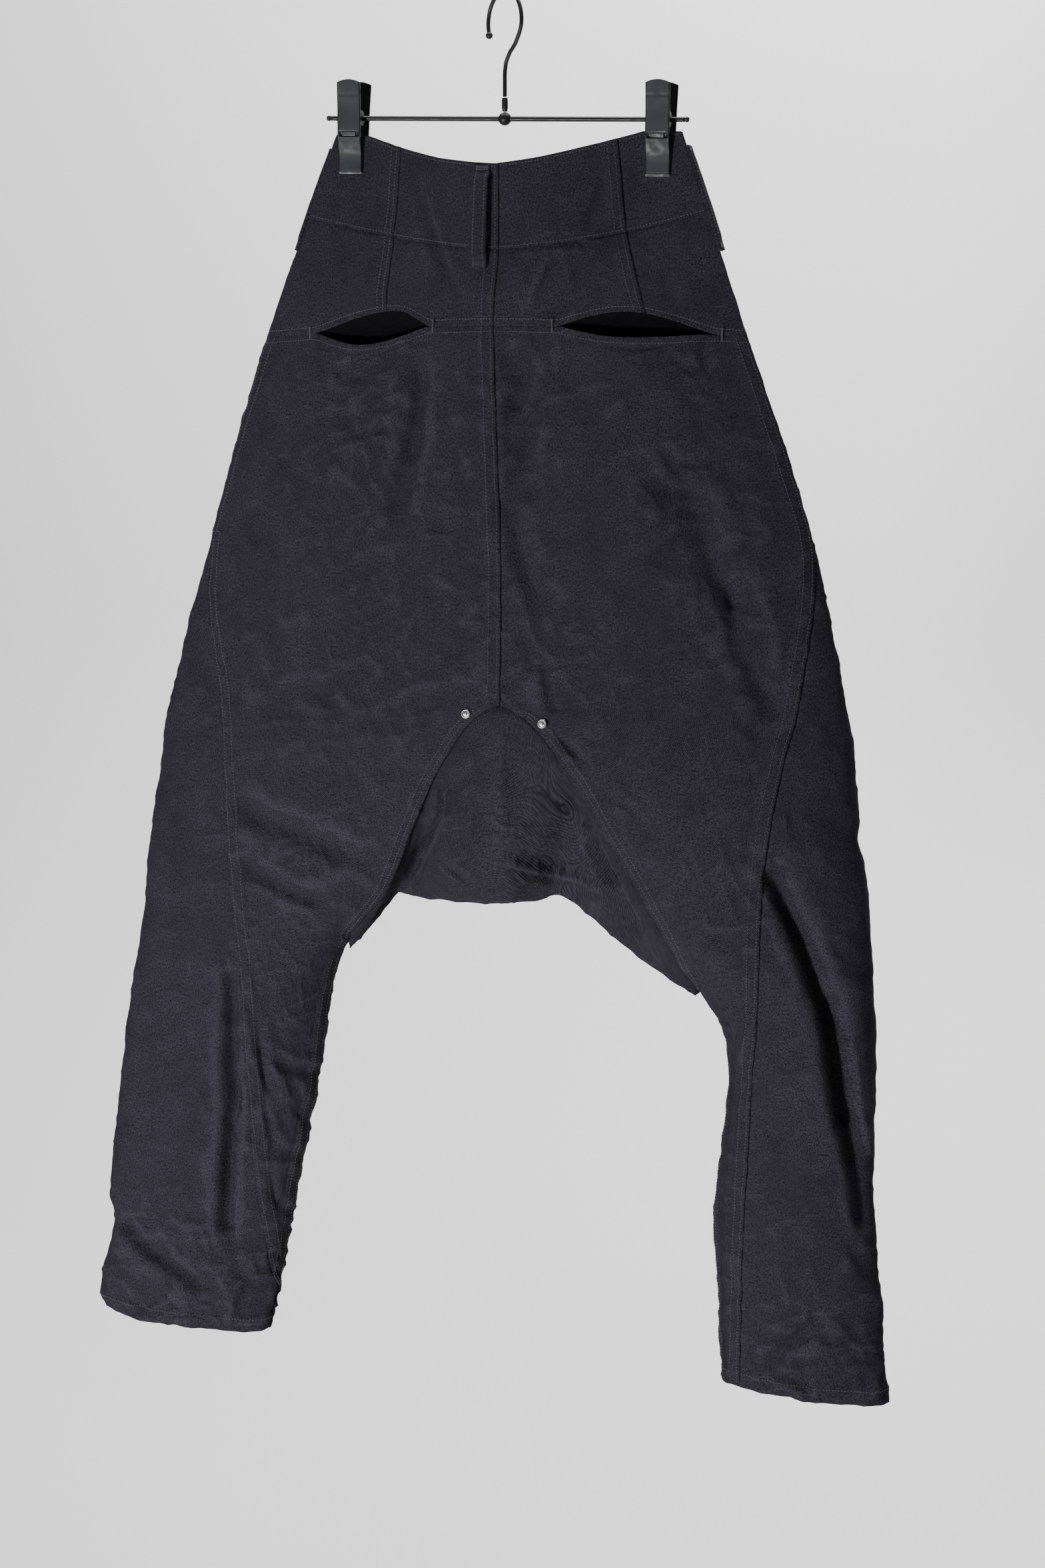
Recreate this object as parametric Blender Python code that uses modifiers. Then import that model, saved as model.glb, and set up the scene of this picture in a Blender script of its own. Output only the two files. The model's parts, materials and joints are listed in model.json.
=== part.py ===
"""Harem pants hung by the waistband from a clip hanger, as solids.

Run with: blender --background --python part.py

Metres, +Z up. The origin is the inside top of the hanger's hook. The hanger's bar runs along X,
the back of the garment faces -Y, and +X is to the right when the back is looked at.
The tables and the cloth's points are in millimetres, and turn into metres where a mesh is made.
"""

import bmesh
import bpy
import math
import numpy as np
from collections import namedtuple
from mathutils import Matrix, Vector

MM = 0.001

# --- cloth ------------------------------------------------------------------------------------
WALL = 1.5                # one layer of denim with its seam allowance
BAND_WALL = 2.6           # the waistband is two layers
HEM_WALL = 2.8            # the hem is turned twice
BAG_WALL = 1.0            # pocketing
SEAM_GAP = 0.3
SIDE_SHIFT = 0.2          # half the slit between the back and front sheets where they lie flat
FRONT_DROP = 12.0         # the front of the waist is this much lower than the back
CLIP_FLAT_X = 118.0       # outside this the clips press the waist flat
BACK, FRONT = -1, 1       # the two faces of the garment, along Y

# One row for each level down the garment. outer_*: the side outline. seam_*: the inner edge of
# the panels, which is the centre seam, then the gusset's arch, then the inseam. far_x: where the
# section's ellipse ends on the inner side. depth: half the front-to-back depth. pinch: 1 is an
# ellipse, more is a flatter lens. side_x: the side seam. fold_*: the gusset's lower fold. Every x
# is measured outwards from the middle, to that half's own side.
Level = namedtuple("Level", "name outer_x outer_z seam_x seam_z far_x depth pinch side_x fold_x fold_z")
LEFT_LEVELS = (
    Level("waist top", 149, -114, -3, -141, -152, 26, 2.4, 149, 0, 0),
    Level("waistband seam", 175, -178, -5, -208, -175, 34, 2.2, 175, 0, 0),
    Level("yoke seam", 213, -279, -4, -270, -208, 44, 1.8, 213, 0, 0),
    Level("hip", 249, -388, -11, -383, -244, 54, 1.5, 249, 0, 0),
    Level("thigh", 278, -484, -16, -476, -272, 61, 1.3, 263, -37, -760),
    Level("arch top", 310, -602, -17, -581, -294, 67, 1.1, 242, 14, -758),
    Level("arch shoulder", 316, -646, 30, -623, -120, 65, 1.0, 237, 65, -756),
    Level("arch middle", 327, -709, 67, -687, 10, 60, 1.0, 233, 106, -754),
    Level("arch low", 334, -769, 99, -747, 80, 52, 1.0, 231, 127, -787),
    Level("arch end", 343, -820, 149, -806, 149, 45, 1.0, 229, 145, -808),
    Level("knee", 360, -927, 171, -911, 171, 40, 1.0, 226, 162, -842),
    Level("calf", 373, -1035, 194, -1020, 194, 35, 1.0, 221, 0, 0),
    Level("shin", 370, -1065, 199, -1050, 199, 33, 1.0, 218, 0, 0),
    Level("crease", 385, -1120, 211, -1106, 211, 32, 1.0, 214, 0, 0),
    Level("hem", 378, -1144, 223, -1152, 223, 30, 1.0, 211, 0, 0),
)
RIGHT_LEVELS = (
    Level("waist top", 152, -119, 3, -141, -149, 26, 2.4, 152, 0, 0),
    Level("waistband seam", 174, -179, 5, -208, -174, 34, 2.2, 174, 0, 0),
    Level("yoke seam", 208, -280, 4, -270, -213, 44, 1.8, 208, 0, 0),
    Level("hip", 244, -385, 11, -383, -249, 54, 1.5, 244, 0, 0),
    Level("thigh", 272, -476, 16, -476, -278, 61, 1.3, 266, -53, -763),
    Level("arch top", 294, -582, 17, -581, -310, 67, 1.1, 258, -14, -758),
    Level("arch shoulder", 300, -622, 70, -627, -120, 65, 1.0, 250, 25, -753),
    Level("arch middle", 306, -680, 98, -674, 10, 60, 1.0, 241, 54, -749),
    Level("arch low", 313, -735, 132, -737, 90, 52, 1.0, 235, 114, -793),
    Level("arch end", 318, -793, 177, -826, 177, 45, 1.0, 232, 172, -828.5),
    Level("knee", 322, -879, 199, -885, 199, 40, 1.0, 226, 212, -856),
    Level("calf", 321, -975, 188, -987, 188, 36, 1.0, 220, 0, 0),
    Level("shin", 324, -1007, 187, -1018, 187, 34, 1.0, 218, 0, 0),
    Level("crease", 328, -1063, 190, -1076, 190, 32, 1.0, 216, 0, 0),
    Level("hem", 337, -1162, 195, -1155, 195, 29, 1.0, 215, 0, 0),
)
WAIST_TOP, WAIST_SEAM, YOKE_SEAM, HIP, THIGH, ARCH_TOP = range(6)
ARCH_END, HEM = 9, 14
HEM_START = 13.6          # the level where the turned hem begins
HEM_STEP = 0.12           # how much higher than that the wall starts to thicken
GUSSET_END_DEPTH = 3.5    # the gusset's points stop where the arch's two edges are twice this apart
# How far the waist's top edge stands above an even curve, by distance from the middle.
Rise = namedtuple("Rise", "x lift")
WAIST_RISE = {
    "left": (Rise(0, 2.0), Rise(50, 2.3), Rise(85, 5.0), Rise(118, 9.0), Rise(149, 3.0)),
    "right": (Rise(0, 2.2), Rise(37, 4.4), Rise(72, 7.8), Rise(119, 11.7), Rise(152, 4.0)),
}

# Rows of faces between each level and the next, from the waist top down.
ROW_STEPS = (3, 3, 4, 3, 4, 3, 3, 3, 5, 4, 3, 2, 2, 2)

# The princess seam, as a share of the way from the centre seam to the side, at levels 0, 1 and 2.
PRINCESS_SHARE = {"left": (0.60, 0.55, 0.44), "right": (0.64, 0.60, 0.61)}

# The slit pockets under the yoke: their two ends, and how far each lip leaves the seam and where.
Pocket = namedtuple("Pocket", "inner_x outer_x lift lift_x sag sag_x gape")
POCKETS = {
    "left": Pocket(50, 163, 15, 84, 13, 110, 8),
    "right": Pocket(56, 186, 15, 116, 7, 108, 8),
}

# Folds of the cloth. A fold is a chain of rows with one name, in real X and Z. depth is outwards:
# a ridge is positive and a trough negative.
Fold = namedtuple("Fold", "name x0 z0 x1 z1 half_width depth")
BACK_FOLDS = (
    Fold("beside the centre seam", 24, -300, 34, -400, 20, -5),
    Fold("beside the centre seam, lower", 20, -419, 49, -494, 20, -4),
    Fold("under the left pocket", -64, -306, -66, -360, 20, -6),
    Fold("under the left pocket", -66, -360, -78, -420, 20, -6),
    Fold("right hip", 160, -405, 204, -490, 32, -6),
    Fold("right thigh", 206, -490, 238, -578, 22, -5),
    Fold("left thigh", -211, -680, -110, -720, 20, -6),
    Fold("left thigh, lower", -216, -729, -155, -756, 14, -4),
    Fold("right leg", 246, -716, 290, -818, 15, -10),
    Fold("right leg", 290, -818, 304, -917, 15, -14),
    Fold("right leg", 304, -917, 316, -1002, 11, -8),
    Fold("left leg", -236, -830, -240, -943, 13, -8),
    Fold("left leg", -240, -943, -250, -1050, 13, -9),
    Fold("left hem, upper", -352, -1066, -280, -1106, 12, -6),
    Fold("left hem, lower", -352, -1090, -292, -1130, 11, 4),
    Fold("right hem", 282, -1090, 244, -1126, 10, -4),
)
FRONT_FOLDS = (
    Fold("beside the front seam", -70, -345, -84, -440, 22, -5),
    Fold("beside the front seam, right", 40, -360, 62, -470, 22, -5),
    Fold("left hip", -150, -360, -205, -480, 30, -4),
    Fold("right hip", 160, -370, 206, -500, 28, -6),
    Fold("left knee", -330, -700, -250, -760, 20, -3),
    Fold("right knee", 300, -690, 230, -742, 20, -7),
    Fold("left leg", -262, -800, -286, -960, 18, -5),
    Fold("right leg", 236, -800, 268, -930, 15, -9),
    Fold("right leg", 268, -930, 276, -1010, 13, -6),
    Fold("left hem", -350, -1068, -262, -1104, 13, -3),
    Fold("right hem", 306, -1076, 232, -1112, 12, -5),
)
GUSSET_FOLDS = (
    Fold("left slit", -16, -640, -42, -672, 13, -8),
    Fold("left slit", -42, -672, -80, -734, 12, -5),
    Fold("right slit", 84, -655, 104, -722, 16, -8),
    Fold("middle ridge", 15, -606, 15, -692, 16, 4),
    Fold("low crease", 18, -700, 76, -727, 13, -4),
)

# --- trims ------------------------------------------------------------------------------------
LOOP_WIDTH = 14.0
LOOP_WALL = 2.0
LOOP_LENGTH = 84.0
LOOP_SEWN = 0.35          # the slit under a loop's sewn ends
SIDE_SEWN = 0.5           # the side loops' own slit, where they cross the waist's side fold
# The rows of a loop from its top: the share of its length, and how far it stands off there. The
# back and front loops arch over a belt, and the side ones hang close and stand off lower down.
LOOP_ROWS = ((0.0, LOOP_SEWN), (0.07, LOOP_SEWN), (0.13, 4.8), (0.30, 6.0), (0.70, 6.0),
             (0.87, 4.8), (0.93, LOOP_SEWN), (1.0, LOOP_SEWN))
SIDE_LOOP_ROWS = ((0.0, LOOP_SEWN), (0.07, LOOP_SEWN), (0.20, 0.7), (0.44, 1.0), (0.60, 1.3),
                  (0.84, 1.2), (0.93, LOOP_SEWN), (1.0, LOOP_SEWN))
SIDE_LOOP_Y = 4.0         # the side loops sit a little to the front of the side fold
BACK_LOOP_X, FRONT_LOOP_X = 10.0, 78.0
LOOP_TOP_Z = {"back": -140.0, "front": -140.0, "left": -122.0, "right": -126.0}
FLY_INSET, FLY_WIDTH = 1.5, 38.0
FLY_TOP, FLY_CURVE, FLY_FOOT = 1.06, 2.20, 2.94     # levels: its top, where it curves in, its end
FLY_WALL = 1.2
BUTTON_X, BUTTON_Z, BUTTON_LIFT = -13.0, -180.0, 0.4
BUTTON_RADIUS, BUTTON_HEIGHT = 8.5, 3.4
RIVET_RADIUS, RIVET_HEIGHT, RIVET_LIFT = 4.3, 1.8, 0.5
RIVETS = {"left": (-12, -588), "right": (54, -594)}
# Profiles as shares of radius and height, from the top's middle round to the foot's.
RIVET_PROFILE = ((0.0, 1.0), (0.30, 1.0), (0.34, 0.62), (0.62, 0.62), (0.90, 0.45), (1.0, 0.15),
                 (1.0, 0.0), (0.0, 0.0))
BUTTON_PROFILE = ((0.0, 0.55), (0.55, 0.6), (0.72, 0.95), (0.88, 1.0), (1.0, 0.8), (1.0, 0.45),
                  (0.45, 0.3), (0.45, 0.0), (0.0, 0.0))

# A pocket bag's rows, round from behind the upper lip, down the bag's inner layer, and up its
# outer layer to the lower lip: the level, how far inside the sheet, and which lip it follows.
BagRow = namedtuple("BagRow", "level inside lip")
BAG_ROWS = (
    BagRow(1.80, 1.2, "upper"), BagRow(1.95, 2.0, "upper"), BagRow(2.15, 6.5, "upper"),
    BagRow(2.55, 12.5, "upper"), BagRow(2.92, 12.0, "upper"), BagRow(3.02, 8.0, "lower"),
    BagRow(2.92, 3.8, "lower"), BagRow(2.55, 3.8, "lower"), BagRow(2.25, 3.2, "lower"),
    BagRow(2.06, 2.6, "lower"),
)
BAG_INSET = 3.0           # a bag's ends are this far in from the pocket's
BAG_END = 5.2             # its inner layer is this far inside the sheet at its two ends

# --- hanger -----------------------------------------------------------------------------------
HANGER_TILT = math.radians(1.6)      # the bar hangs a little low at its right end
BAR_Z = -0.1015
BAR_RADIUS = 0.0021
BAR_HALF_LENGTH = 0.1515
KNOB_RADIUS, KNOB_LENGTH = 0.0023, 0.0055
WIRE_RADIUS = 0.00175
HOOK_RADIUS = 0.025
HOOK_TURN = math.radians(-38.6)      # the hook's plane, turned from the bar's
HOOK_TIP_RADIUS = 0.003
BALL_RADIUS = 0.0055
COLLAR_RADIUS, COLLAR_LENGTH = 0.0026, 0.012
PART_GAP = 0.0003         # between the hanger's pieces
CLIP_X = 0.1335
CLIP_TOP_Z, CLIP_BOTTOM_Z = -0.0730, -0.1450
SLOT_Z = -0.1150
CLIP_HALF_WIDTH = 0.0102
CLIP_WALL = 0.0026
PIVOT_RADIUS, PIVOT_LENGTH = 0.0065, 0.016
SLOT_SIZE, SLOT_BEVEL = (0.0115, 0.0008, 0.0036), 0.0002
TIP_HEIGHT, TIP_BEVEL = 0.0022, 0.0003
FINGER_RISE = 0.0025      # how far a jaw's finger end is arched
# The inner face of a jaw from its finger end down to its grip: distance from the middle, height.
JAW_LINE = ((0.0120, CLIP_TOP_Z), (0.0110, -0.082), (0.0096, -0.094), (0.0090, -0.106),
            (0.0084, -0.116), (0.0064, -0.124), (0.0042, -0.130), (0.0036, -0.136),
            (0.0036, CLIP_BOTTOM_Z))
SLOT_FACE, GRIP_FACE = 0.0090, 0.0036     # the jaw's distance at the slot and at the grip
# The shank, and its bend up to the hook, in the hook's plane: across, up.
SHANK = ((0.0, -0.072), (0.0, -0.064), (0.0018, -0.056), (0.0075, -0.0485), (0.0155, -0.0425),
         (0.0215, -0.0345))
HOOK_FROM, HOOK_TO, HOOK_STEPS = math.radians(-12), math.radians(196), 16

MATERIALS = {
    # name: (colour, roughness, metallic)
    "denim": ((0.018, 0.018, 0.026), 0.92, 0.0),
    "pocketing": ((0.012, 0.012, 0.015), 0.95, 0.0),
    "rivet metal": ((0.62, 0.62, 0.60), 0.30, 1.0),
    "button metal": ((0.10, 0.10, 0.11), 0.35, 1.0),
    "hanger black": ((0.010, 0.010, 0.011), 0.38, 0.0),
    "clip face grey": ((0.055, 0.058, 0.062), 0.45, 0.0),
    "clip silver": ((0.72, 0.72, 0.72), 0.25, 1.0),
}


# --- helpers ----------------------------------------------------------------------------------
def clear_scene():
    for obj in list(bpy.data.objects):
        bpy.data.objects.remove(obj, do_unlink=True)


def material(name):
    found = bpy.data.materials.get(name)
    if found:
        return found
    colour, roughness, metallic = MATERIALS[name]
    made = bpy.data.materials.new(name)
    made.use_nodes = True
    shader = made.node_tree.nodes["Principled BSDF"]
    shader.inputs["Base Color"].default_value = (*colour, 1.0)
    shader.inputs["Roughness"].default_value = roughness
    shader.inputs["Metallic"].default_value = metallic
    return made


def add_object(name, mesh, material_name, collection, parent=None, smooth_angle=40):
    obj = bpy.data.objects.new(name, mesh)
    collection.objects.link(obj)
    mesh.materials.clear()
    mesh.materials.append(material(material_name))
    mesh.shade_smooth()
    mesh.set_sharp_from_angle(angle=math.radians(smooth_angle))
    obj.parent = parent
    return obj


def unit(vectors):
    return vectors / np.maximum(np.linalg.norm(vectors, axis=-1, keepdims=True), 1e-9)


def smooth_step(value):
    t = np.clip(value, 0.0, 1.0)
    return t * t * (3 - 2 * t)


# --- the cloth's surface ----------------------------------------------------------------------
def read_column(levels, column, v):
    """A column of the table at level v, on a smooth curve through its rows."""
    values = np.array([getattr(level, column) for level in levels], float)
    slopes = np.gradient(values)
    i = np.clip(np.floor(v).astype(int), 0, len(levels) - 2)
    t = v - i
    a, b, m, n = values[i], values[i + 1], slopes[i], slopes[i + 1]
    return ((2 * t**3 - 3 * t**2 + 1) * a + (t**3 - 2 * t**2 + t) * m
            + (3 * t**2 - 2 * t**3) * b + (t**3 - t**2) * n)


class Half:
    """One half of the garment, left or right, as points of its sections."""

    def __init__(self, name):
        self.name = name
        self.sign = -1 if name == "left" else 1
        self.levels = LEFT_LEVELS if name == "left" else RIGHT_LEVELS

    def read(self, column, v):
        return read_column(self.levels, column, np.asarray(v, float))

    def seam_line(self, v):
        """x and z of the panels' inner edge. The arch leaves its top flat and round."""
        v = np.asarray(v, float)
        x, z = self.read("seam_x", v), self.read("seam_z", v)
        top, shoulder = self.levels[ARCH_TOP], self.levels[ARCH_TOP + 1]
        t = np.clip(v - ARCH_TOP, 0, 1)
        on_top = (v >= ARCH_TOP) & (v <= ARCH_TOP + 1)
        x = np.where(on_top, top.seam_x + (shoulder.seam_x - top.seam_x) * t**0.8, x)
        z = np.where(on_top, top.seam_z + (shoulder.seam_z - top.seam_z) * t**1.5, z)
        above = (v > THIGH) & (v < ARCH_TOP)
        t = np.clip(v - THIGH, 0, 1)
        thigh = self.levels[THIGH]
        x = np.where(above, thigh.seam_x + (top.seam_x - thigh.seam_x) * t, x)
        z = np.where(above, thigh.seam_z + (top.seam_z - thigh.seam_z) * t, z)
        return x, z

    def ellipse(self, v):
        outer, far = self.read("outer_x", v), self.read("far_x", v)
        return (outer + far) / 2, (outer - far) / 2 - WALL, self.read("depth", v) - WALL

    def angle_at(self, v, x):
        """The angle on the back, 0 at the inner end and pi at the side, at outward distance x."""
        centre, half, _ = self.ellipse(v)
        return np.arccos(np.clip((centre - x) / half, -1, 1))

    def inner_angle(self, v):
        x, _ = self.seam_line(v)
        return np.where(np.asarray(v) >= ARCH_END, 0.0, self.angle_at(v, x))

    def side_angle(self, v):
        return np.where(np.asarray(v) <= THIGH - 0.4, math.pi,
                        self.angle_at(v, self.read("side_x", v)))

    def lift(self, v, x):
        """How far the waist's shaped top edge raises a point at outward distance x."""
        return np.interp(x, *zip(*WAIST_RISE[self.name])) * np.clip(1 - v, 0, 1)

    def plain(self, v, angle, face):
        """Points and outward directions of the sheet's inside, before its folds."""
        v, angle = np.broadcast_arrays(np.asarray(v, float), np.asarray(angle, float))
        centre, half, depth = self.ellipse(v)
        power = self.read("pinch", v)
        sine = np.abs(np.sin(angle))
        x = centre - half * np.cos(angle)
        flat = 1 - smooth_step((v - 0.55) / 1.4)
        at_clips = np.clip(1 - (x / CLIP_FLAT_X) ** 2, 0, 1) ** 1.5
        bulge = sine**power * (1 - flat) + at_clips * flat
        slit = SIDE_SHIFT * np.clip((THIGH - v) / 0.5, 0, 1)
        turn = np.where(np.sin(angle) >= 0, BACK, FRONT)
        turn = np.where(np.abs(np.sin(angle)) < 1e-6, face, turn)
        y = turn * (depth * bulge + slit)
        seam_x, seam_z = self.seam_line(v)
        drop = FRONT_DROP * np.clip(1 - v / HIP, 0, 1) if face == FRONT else 0.0
        outer_x, outer_z = self.read("outer_x", v), self.read("outer_z", v)
        share = np.clip((x - seam_x) / (outer_x - seam_x), 0, 1) ** 1.5
        z = (seam_z - drop) * (1 - share) + outer_z * share
        z = z + self.lift(v, x)
        slope = depth * power * np.maximum(sine, 1e-4) ** (power - 1) * np.cos(angle) * (1 - flat)
        normal = unit(np.stack([-slope, turn * half * np.maximum(sine, 1e-3), 0 * x], -1))
        points = np.stack([self.sign * x, y, z], -1)
        normal[..., 0] *= self.sign
        return points, normal

    def sheet(self, v, angle, face):
        """Points and outward directions of the sheet's inside, with its folds."""
        points, normal = self.plain(v, angle, face)
        moved = fold_height(points, BACK_FOLDS)
        if face == FRONT:
            on_back = np.sin(np.broadcast_to(angle, points.shape[:-1])) >= 0
            moved = np.where(on_back, moved, fold_height(points, FRONT_FOLDS))
        return points + normal * moved[..., None], normal

    def at(self, x, z, face):
        """The level and angle of the sheet's point at real x and z."""
        v = np.linspace(WAIST_TOP, HEM, 1401)
        back = self.angle_at(v, self.sign * x)
        angle = back if face == BACK else 2 * math.pi - back
        points, _ = self.plain(v, angle, face)
        best = int(np.argmin(np.abs(points[:, 2] - z)))
        return v[best], angle[best]


def fold_height(points, folds):
    """How far the folds move points outwards."""
    height = np.zeros(points.shape[:-1])
    for name in dict.fromkeys(fold.name for fold in folds):
        chain = np.zeros_like(height)
        for fold in (row for row in folds if row.name == name):
            start = np.array([fold.x0, fold.z0], float)
            run = np.array([fold.x1, fold.z1], float) - start
            rel = points[..., [0, 2]] - start
            along = np.clip(rel @ run / (run @ run), 0, 1)
            away = np.linalg.norm(rel - along[..., None] * run, axis=-1) / fold.half_width
            bump = fold.depth * np.cos(np.clip(away, 0, 1) * math.pi / 2) ** 2
            chain = np.where(np.abs(bump) > np.abs(chain), bump, chain)
        height += chain
    return height


def trim_edges(points, gaps):
    """Draws a grid's first and last rows and columns in, by gaps (top, bottom, start, end)."""
    top, bottom, start, end = gaps
    out = points.copy()
    out[0] += unit(points[1] - points[0]) * top
    out[-1] += unit(points[-2] - points[-1]) * bottom
    inner = out.copy()
    out[:, 0] += unit(inner[:, 1] - inner[:, 0]) * start
    out[:, -1] += unit(inner[:, -2] - inner[:, -1]) * end
    return out


def wall_mesh(name, inner, outer):
    """A closed wall between two grids of points, given in metres."""
    rows, columns = inner.shape[:2]
    builder = bmesh.new()

    def layer(grid):
        return [[builder.verts.new(Vector(grid[i, j])) for j in range(columns)] for i in range(rows)]

    near, far = layer(inner), layer(outer)
    for i in range(rows - 1):
        for j in range(columns - 1):
            builder.faces.new((far[i][j], far[i + 1][j], far[i + 1][j + 1], far[i][j + 1]))
            builder.faces.new((near[i][j], near[i][j + 1], near[i + 1][j + 1], near[i + 1][j]))
    rim = [(0, j) for j in range(columns)] + [(i, columns - 1) for i in range(1, rows)]
    rim += [(rows - 1, j) for j in range(columns - 2, -1, -1)] + [(i, 0) for i in range(rows - 2, 0, -1)]
    for (a, b), (c, d) in zip(rim, rim[1:] + rim[:1]):
        builder.faces.new((near[a][b], far[a][b], far[c][d], near[c][d]))
    bmesh.ops.recalc_face_normals(builder, faces=builder.faces)
    mesh = bpy.data.meshes.new(name)
    builder.to_mesh(mesh)
    builder.free()
    if signed_volume(mesh) < 0:
        mesh.flip_normals()
    return mesh


def cloth_wall(name, points, normal, thickness, collection, material_name="denim"):
    """A wall over a grid of inside points, thickened along its outward directions."""
    thickness = np.broadcast_to(np.asarray(thickness, float), points.shape[:2])
    mesh = wall_mesh(name, points * MM, (points + normal * thickness[..., None]) * MM)
    return add_object(name, mesh, material_name, collection)


def signed_volume(mesh):
    mesh.calc_loop_triangles()
    points = np.array([vertex.co[:] for vertex in mesh.vertices])
    faces = np.array([triangle.vertices[:] for triangle in mesh.loop_triangles])
    return float(np.linalg.det(points[faces]).sum())


def rows_between(first, last):
    """Level values for the rows of points from one level to another."""
    rows = [first]
    for level in range(int(first), int(math.ceil(last))):
        steps = ROW_STEPS[level]
        rows += [level + (i + 1) / steps for i in range(steps) if level + (i + 1) / steps <= last + 1e-9]
    return np.array(rows)


def gusset_end(half):
    """The lowest level at which the arch's back and front edges still stand apart."""
    v = np.linspace(ARCH_END - 1, ARCH_END, 401)
    points, _ = half.plain(v, half.inner_angle(v), BACK)
    return v[np.nonzero(points[:, 1] < -GUSSET_END_DEPTH)[0][-1]]


def arch_rows(half):
    """The rows of the arch, which the panels and the gusset share."""
    v = rows_between(ARCH_TOP, ARCH_END)
    end = gusset_end(half)
    return np.append(v[v < end - 0.06], end)


def panel_rows(half, first):
    """The rows down to the hem, with a close pair where the turned hem begins."""
    return np.concatenate([rows_between(first, ARCH_TOP)[:-1], arch_rows(half),
                           rows_between(ARCH_END, HEM - 1), [HEM_START - HEM_STEP, HEM_START, HEM]])


def hem_thickness(v, columns):
    return np.repeat(np.where(v >= HEM_START - 1e-6, HEM_WALL, WALL)[:, None], columns, 1)


def panel(half, face, v, start_angle, end_angle, columns):
    """A grid of points from one edge angle to another along the rows v."""
    share = np.linspace(0, 1, columns)[None, :]
    angle = start_angle[:, None] * (1 - share) + end_angle[:, None] * share
    grid_v = np.repeat(v[:, None], columns, 1)
    points, normal = half.sheet(grid_v, angle, face)
    return grid_v, angle, points, normal


# --- pieces of cloth --------------------------------------------------------------------------
def princess_angle(half, v):
    shares = PRINCESS_SHARE[half.name]
    share = np.interp(v, (WAIST_TOP, WAIST_SEAM, YOKE_SEAM), shares)
    seam_x, _ = half.seam_line(v)
    return half.angle_at(v, seam_x + share * (half.read("outer_x", v) - seam_x))


def lip(x, first, last, peak):
    """0 at a pocket's two ends and 1 at its peak."""
    t = np.where(x < peak, 0.5 * (x - first) / (peak - first), 0.5 + 0.5 * (x - peak) / (last - peak))
    return np.sin(np.clip(t, 0, 1) * math.pi) ** 1.2


def lift_upper_lip(half, v, points):
    """The yoke's lower edge arches up over the pocket, and the rows above it follow."""
    pocket = POCKETS[half.name]
    outwards = half.sign * points[..., 0]
    weight = np.clip(v - WAIST_SEAM, 0, 1) ** 2
    points[..., 2] += pocket.lift * weight * lip(outwards, pocket.inner_x, pocket.outer_x, pocket.lift_x)
    return points


def drop_lower_lip(half, v, points):
    """The panel's upper edge sags and gapes at the pocket, and the rows below it follow."""
    pocket = POCKETS[half.name]
    outwards = half.sign * points[..., 0]
    weight = np.clip(1 - (v - YOKE_SEAM) / 0.8, 0, 1) ** 2
    shape = weight * lip(outwards, pocket.inner_x, pocket.outer_x, pocket.sag_x)
    points[..., 2] -= pocket.sag * shape
    points[..., 1] -= pocket.gape * shape
    return points


def build_waistband(half, collection):
    v = rows_between(WAIST_TOP, WAIST_SEAM)
    middle = half.inner_angle(v)
    princess = princess_angle(half, v)
    side = np.full_like(v, math.pi)
    gap = SEAM_GAP / 2
    pieces = (
        ("waistband_back_centre_", BACK, middle, princess, 7),
        ("waistband_back_side_", BACK, princess, side, 6),
        ("waistband_front_", FRONT, side, 2 * math.pi - middle, 11),
    )
    for stem, face, start, end, columns in pieces:
        _, _, points, normal = panel(half, face, v, start, end, columns)
        points = trim_edges(points, (0, gap, gap, gap))
        cloth_wall(stem + half.name, points, normal, BAND_WALL, collection)


def build_yoke(half, collection):
    v = rows_between(WAIST_SEAM, YOKE_SEAM)
    middle = half.inner_angle(v)
    princess = princess_angle(half, v)
    side = np.full_like(v, math.pi)
    gap = SEAM_GAP / 2
    pieces = (("yoke_centre_", middle, princess, 8), ("yoke_side_", princess, side, 8))
    for stem, start, end, columns in pieces:
        grid_v, _, points, normal = panel(half, BACK, v, start, end, columns)
        points = trim_edges(lift_upper_lip(half, grid_v, points), (gap, gap, gap, gap))
        cloth_wall(stem + half.name, points, normal, WALL, collection)


def build_back_panel(half, collection, columns=11):
    v = panel_rows(half, YOKE_SEAM)
    grid_v, _, points, normal = panel(half, BACK, v, half.inner_angle(v), half.side_angle(v), columns)
    points = drop_lower_lip(half, grid_v, points)
    gap = SEAM_GAP / 2
    points = trim_edges(points, (gap, 0, gap, gap))
    cloth_wall("back_panel_" + half.name, points, normal, hem_thickness(v, columns), collection)


def build_front_panel(half, collection, columns=12):
    v = panel_rows(half, WAIST_SEAM)
    end = 2 * math.pi - half.inner_angle(v)
    _, _, points, normal = panel(half, FRONT, v, half.side_angle(v), end, columns)
    gap = SEAM_GAP / 2
    points = trim_edges(points, (gap, 0, gap, gap))
    cloth_wall("front_panel_" + half.name, points, normal, hem_thickness(v, columns), collection)


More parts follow.
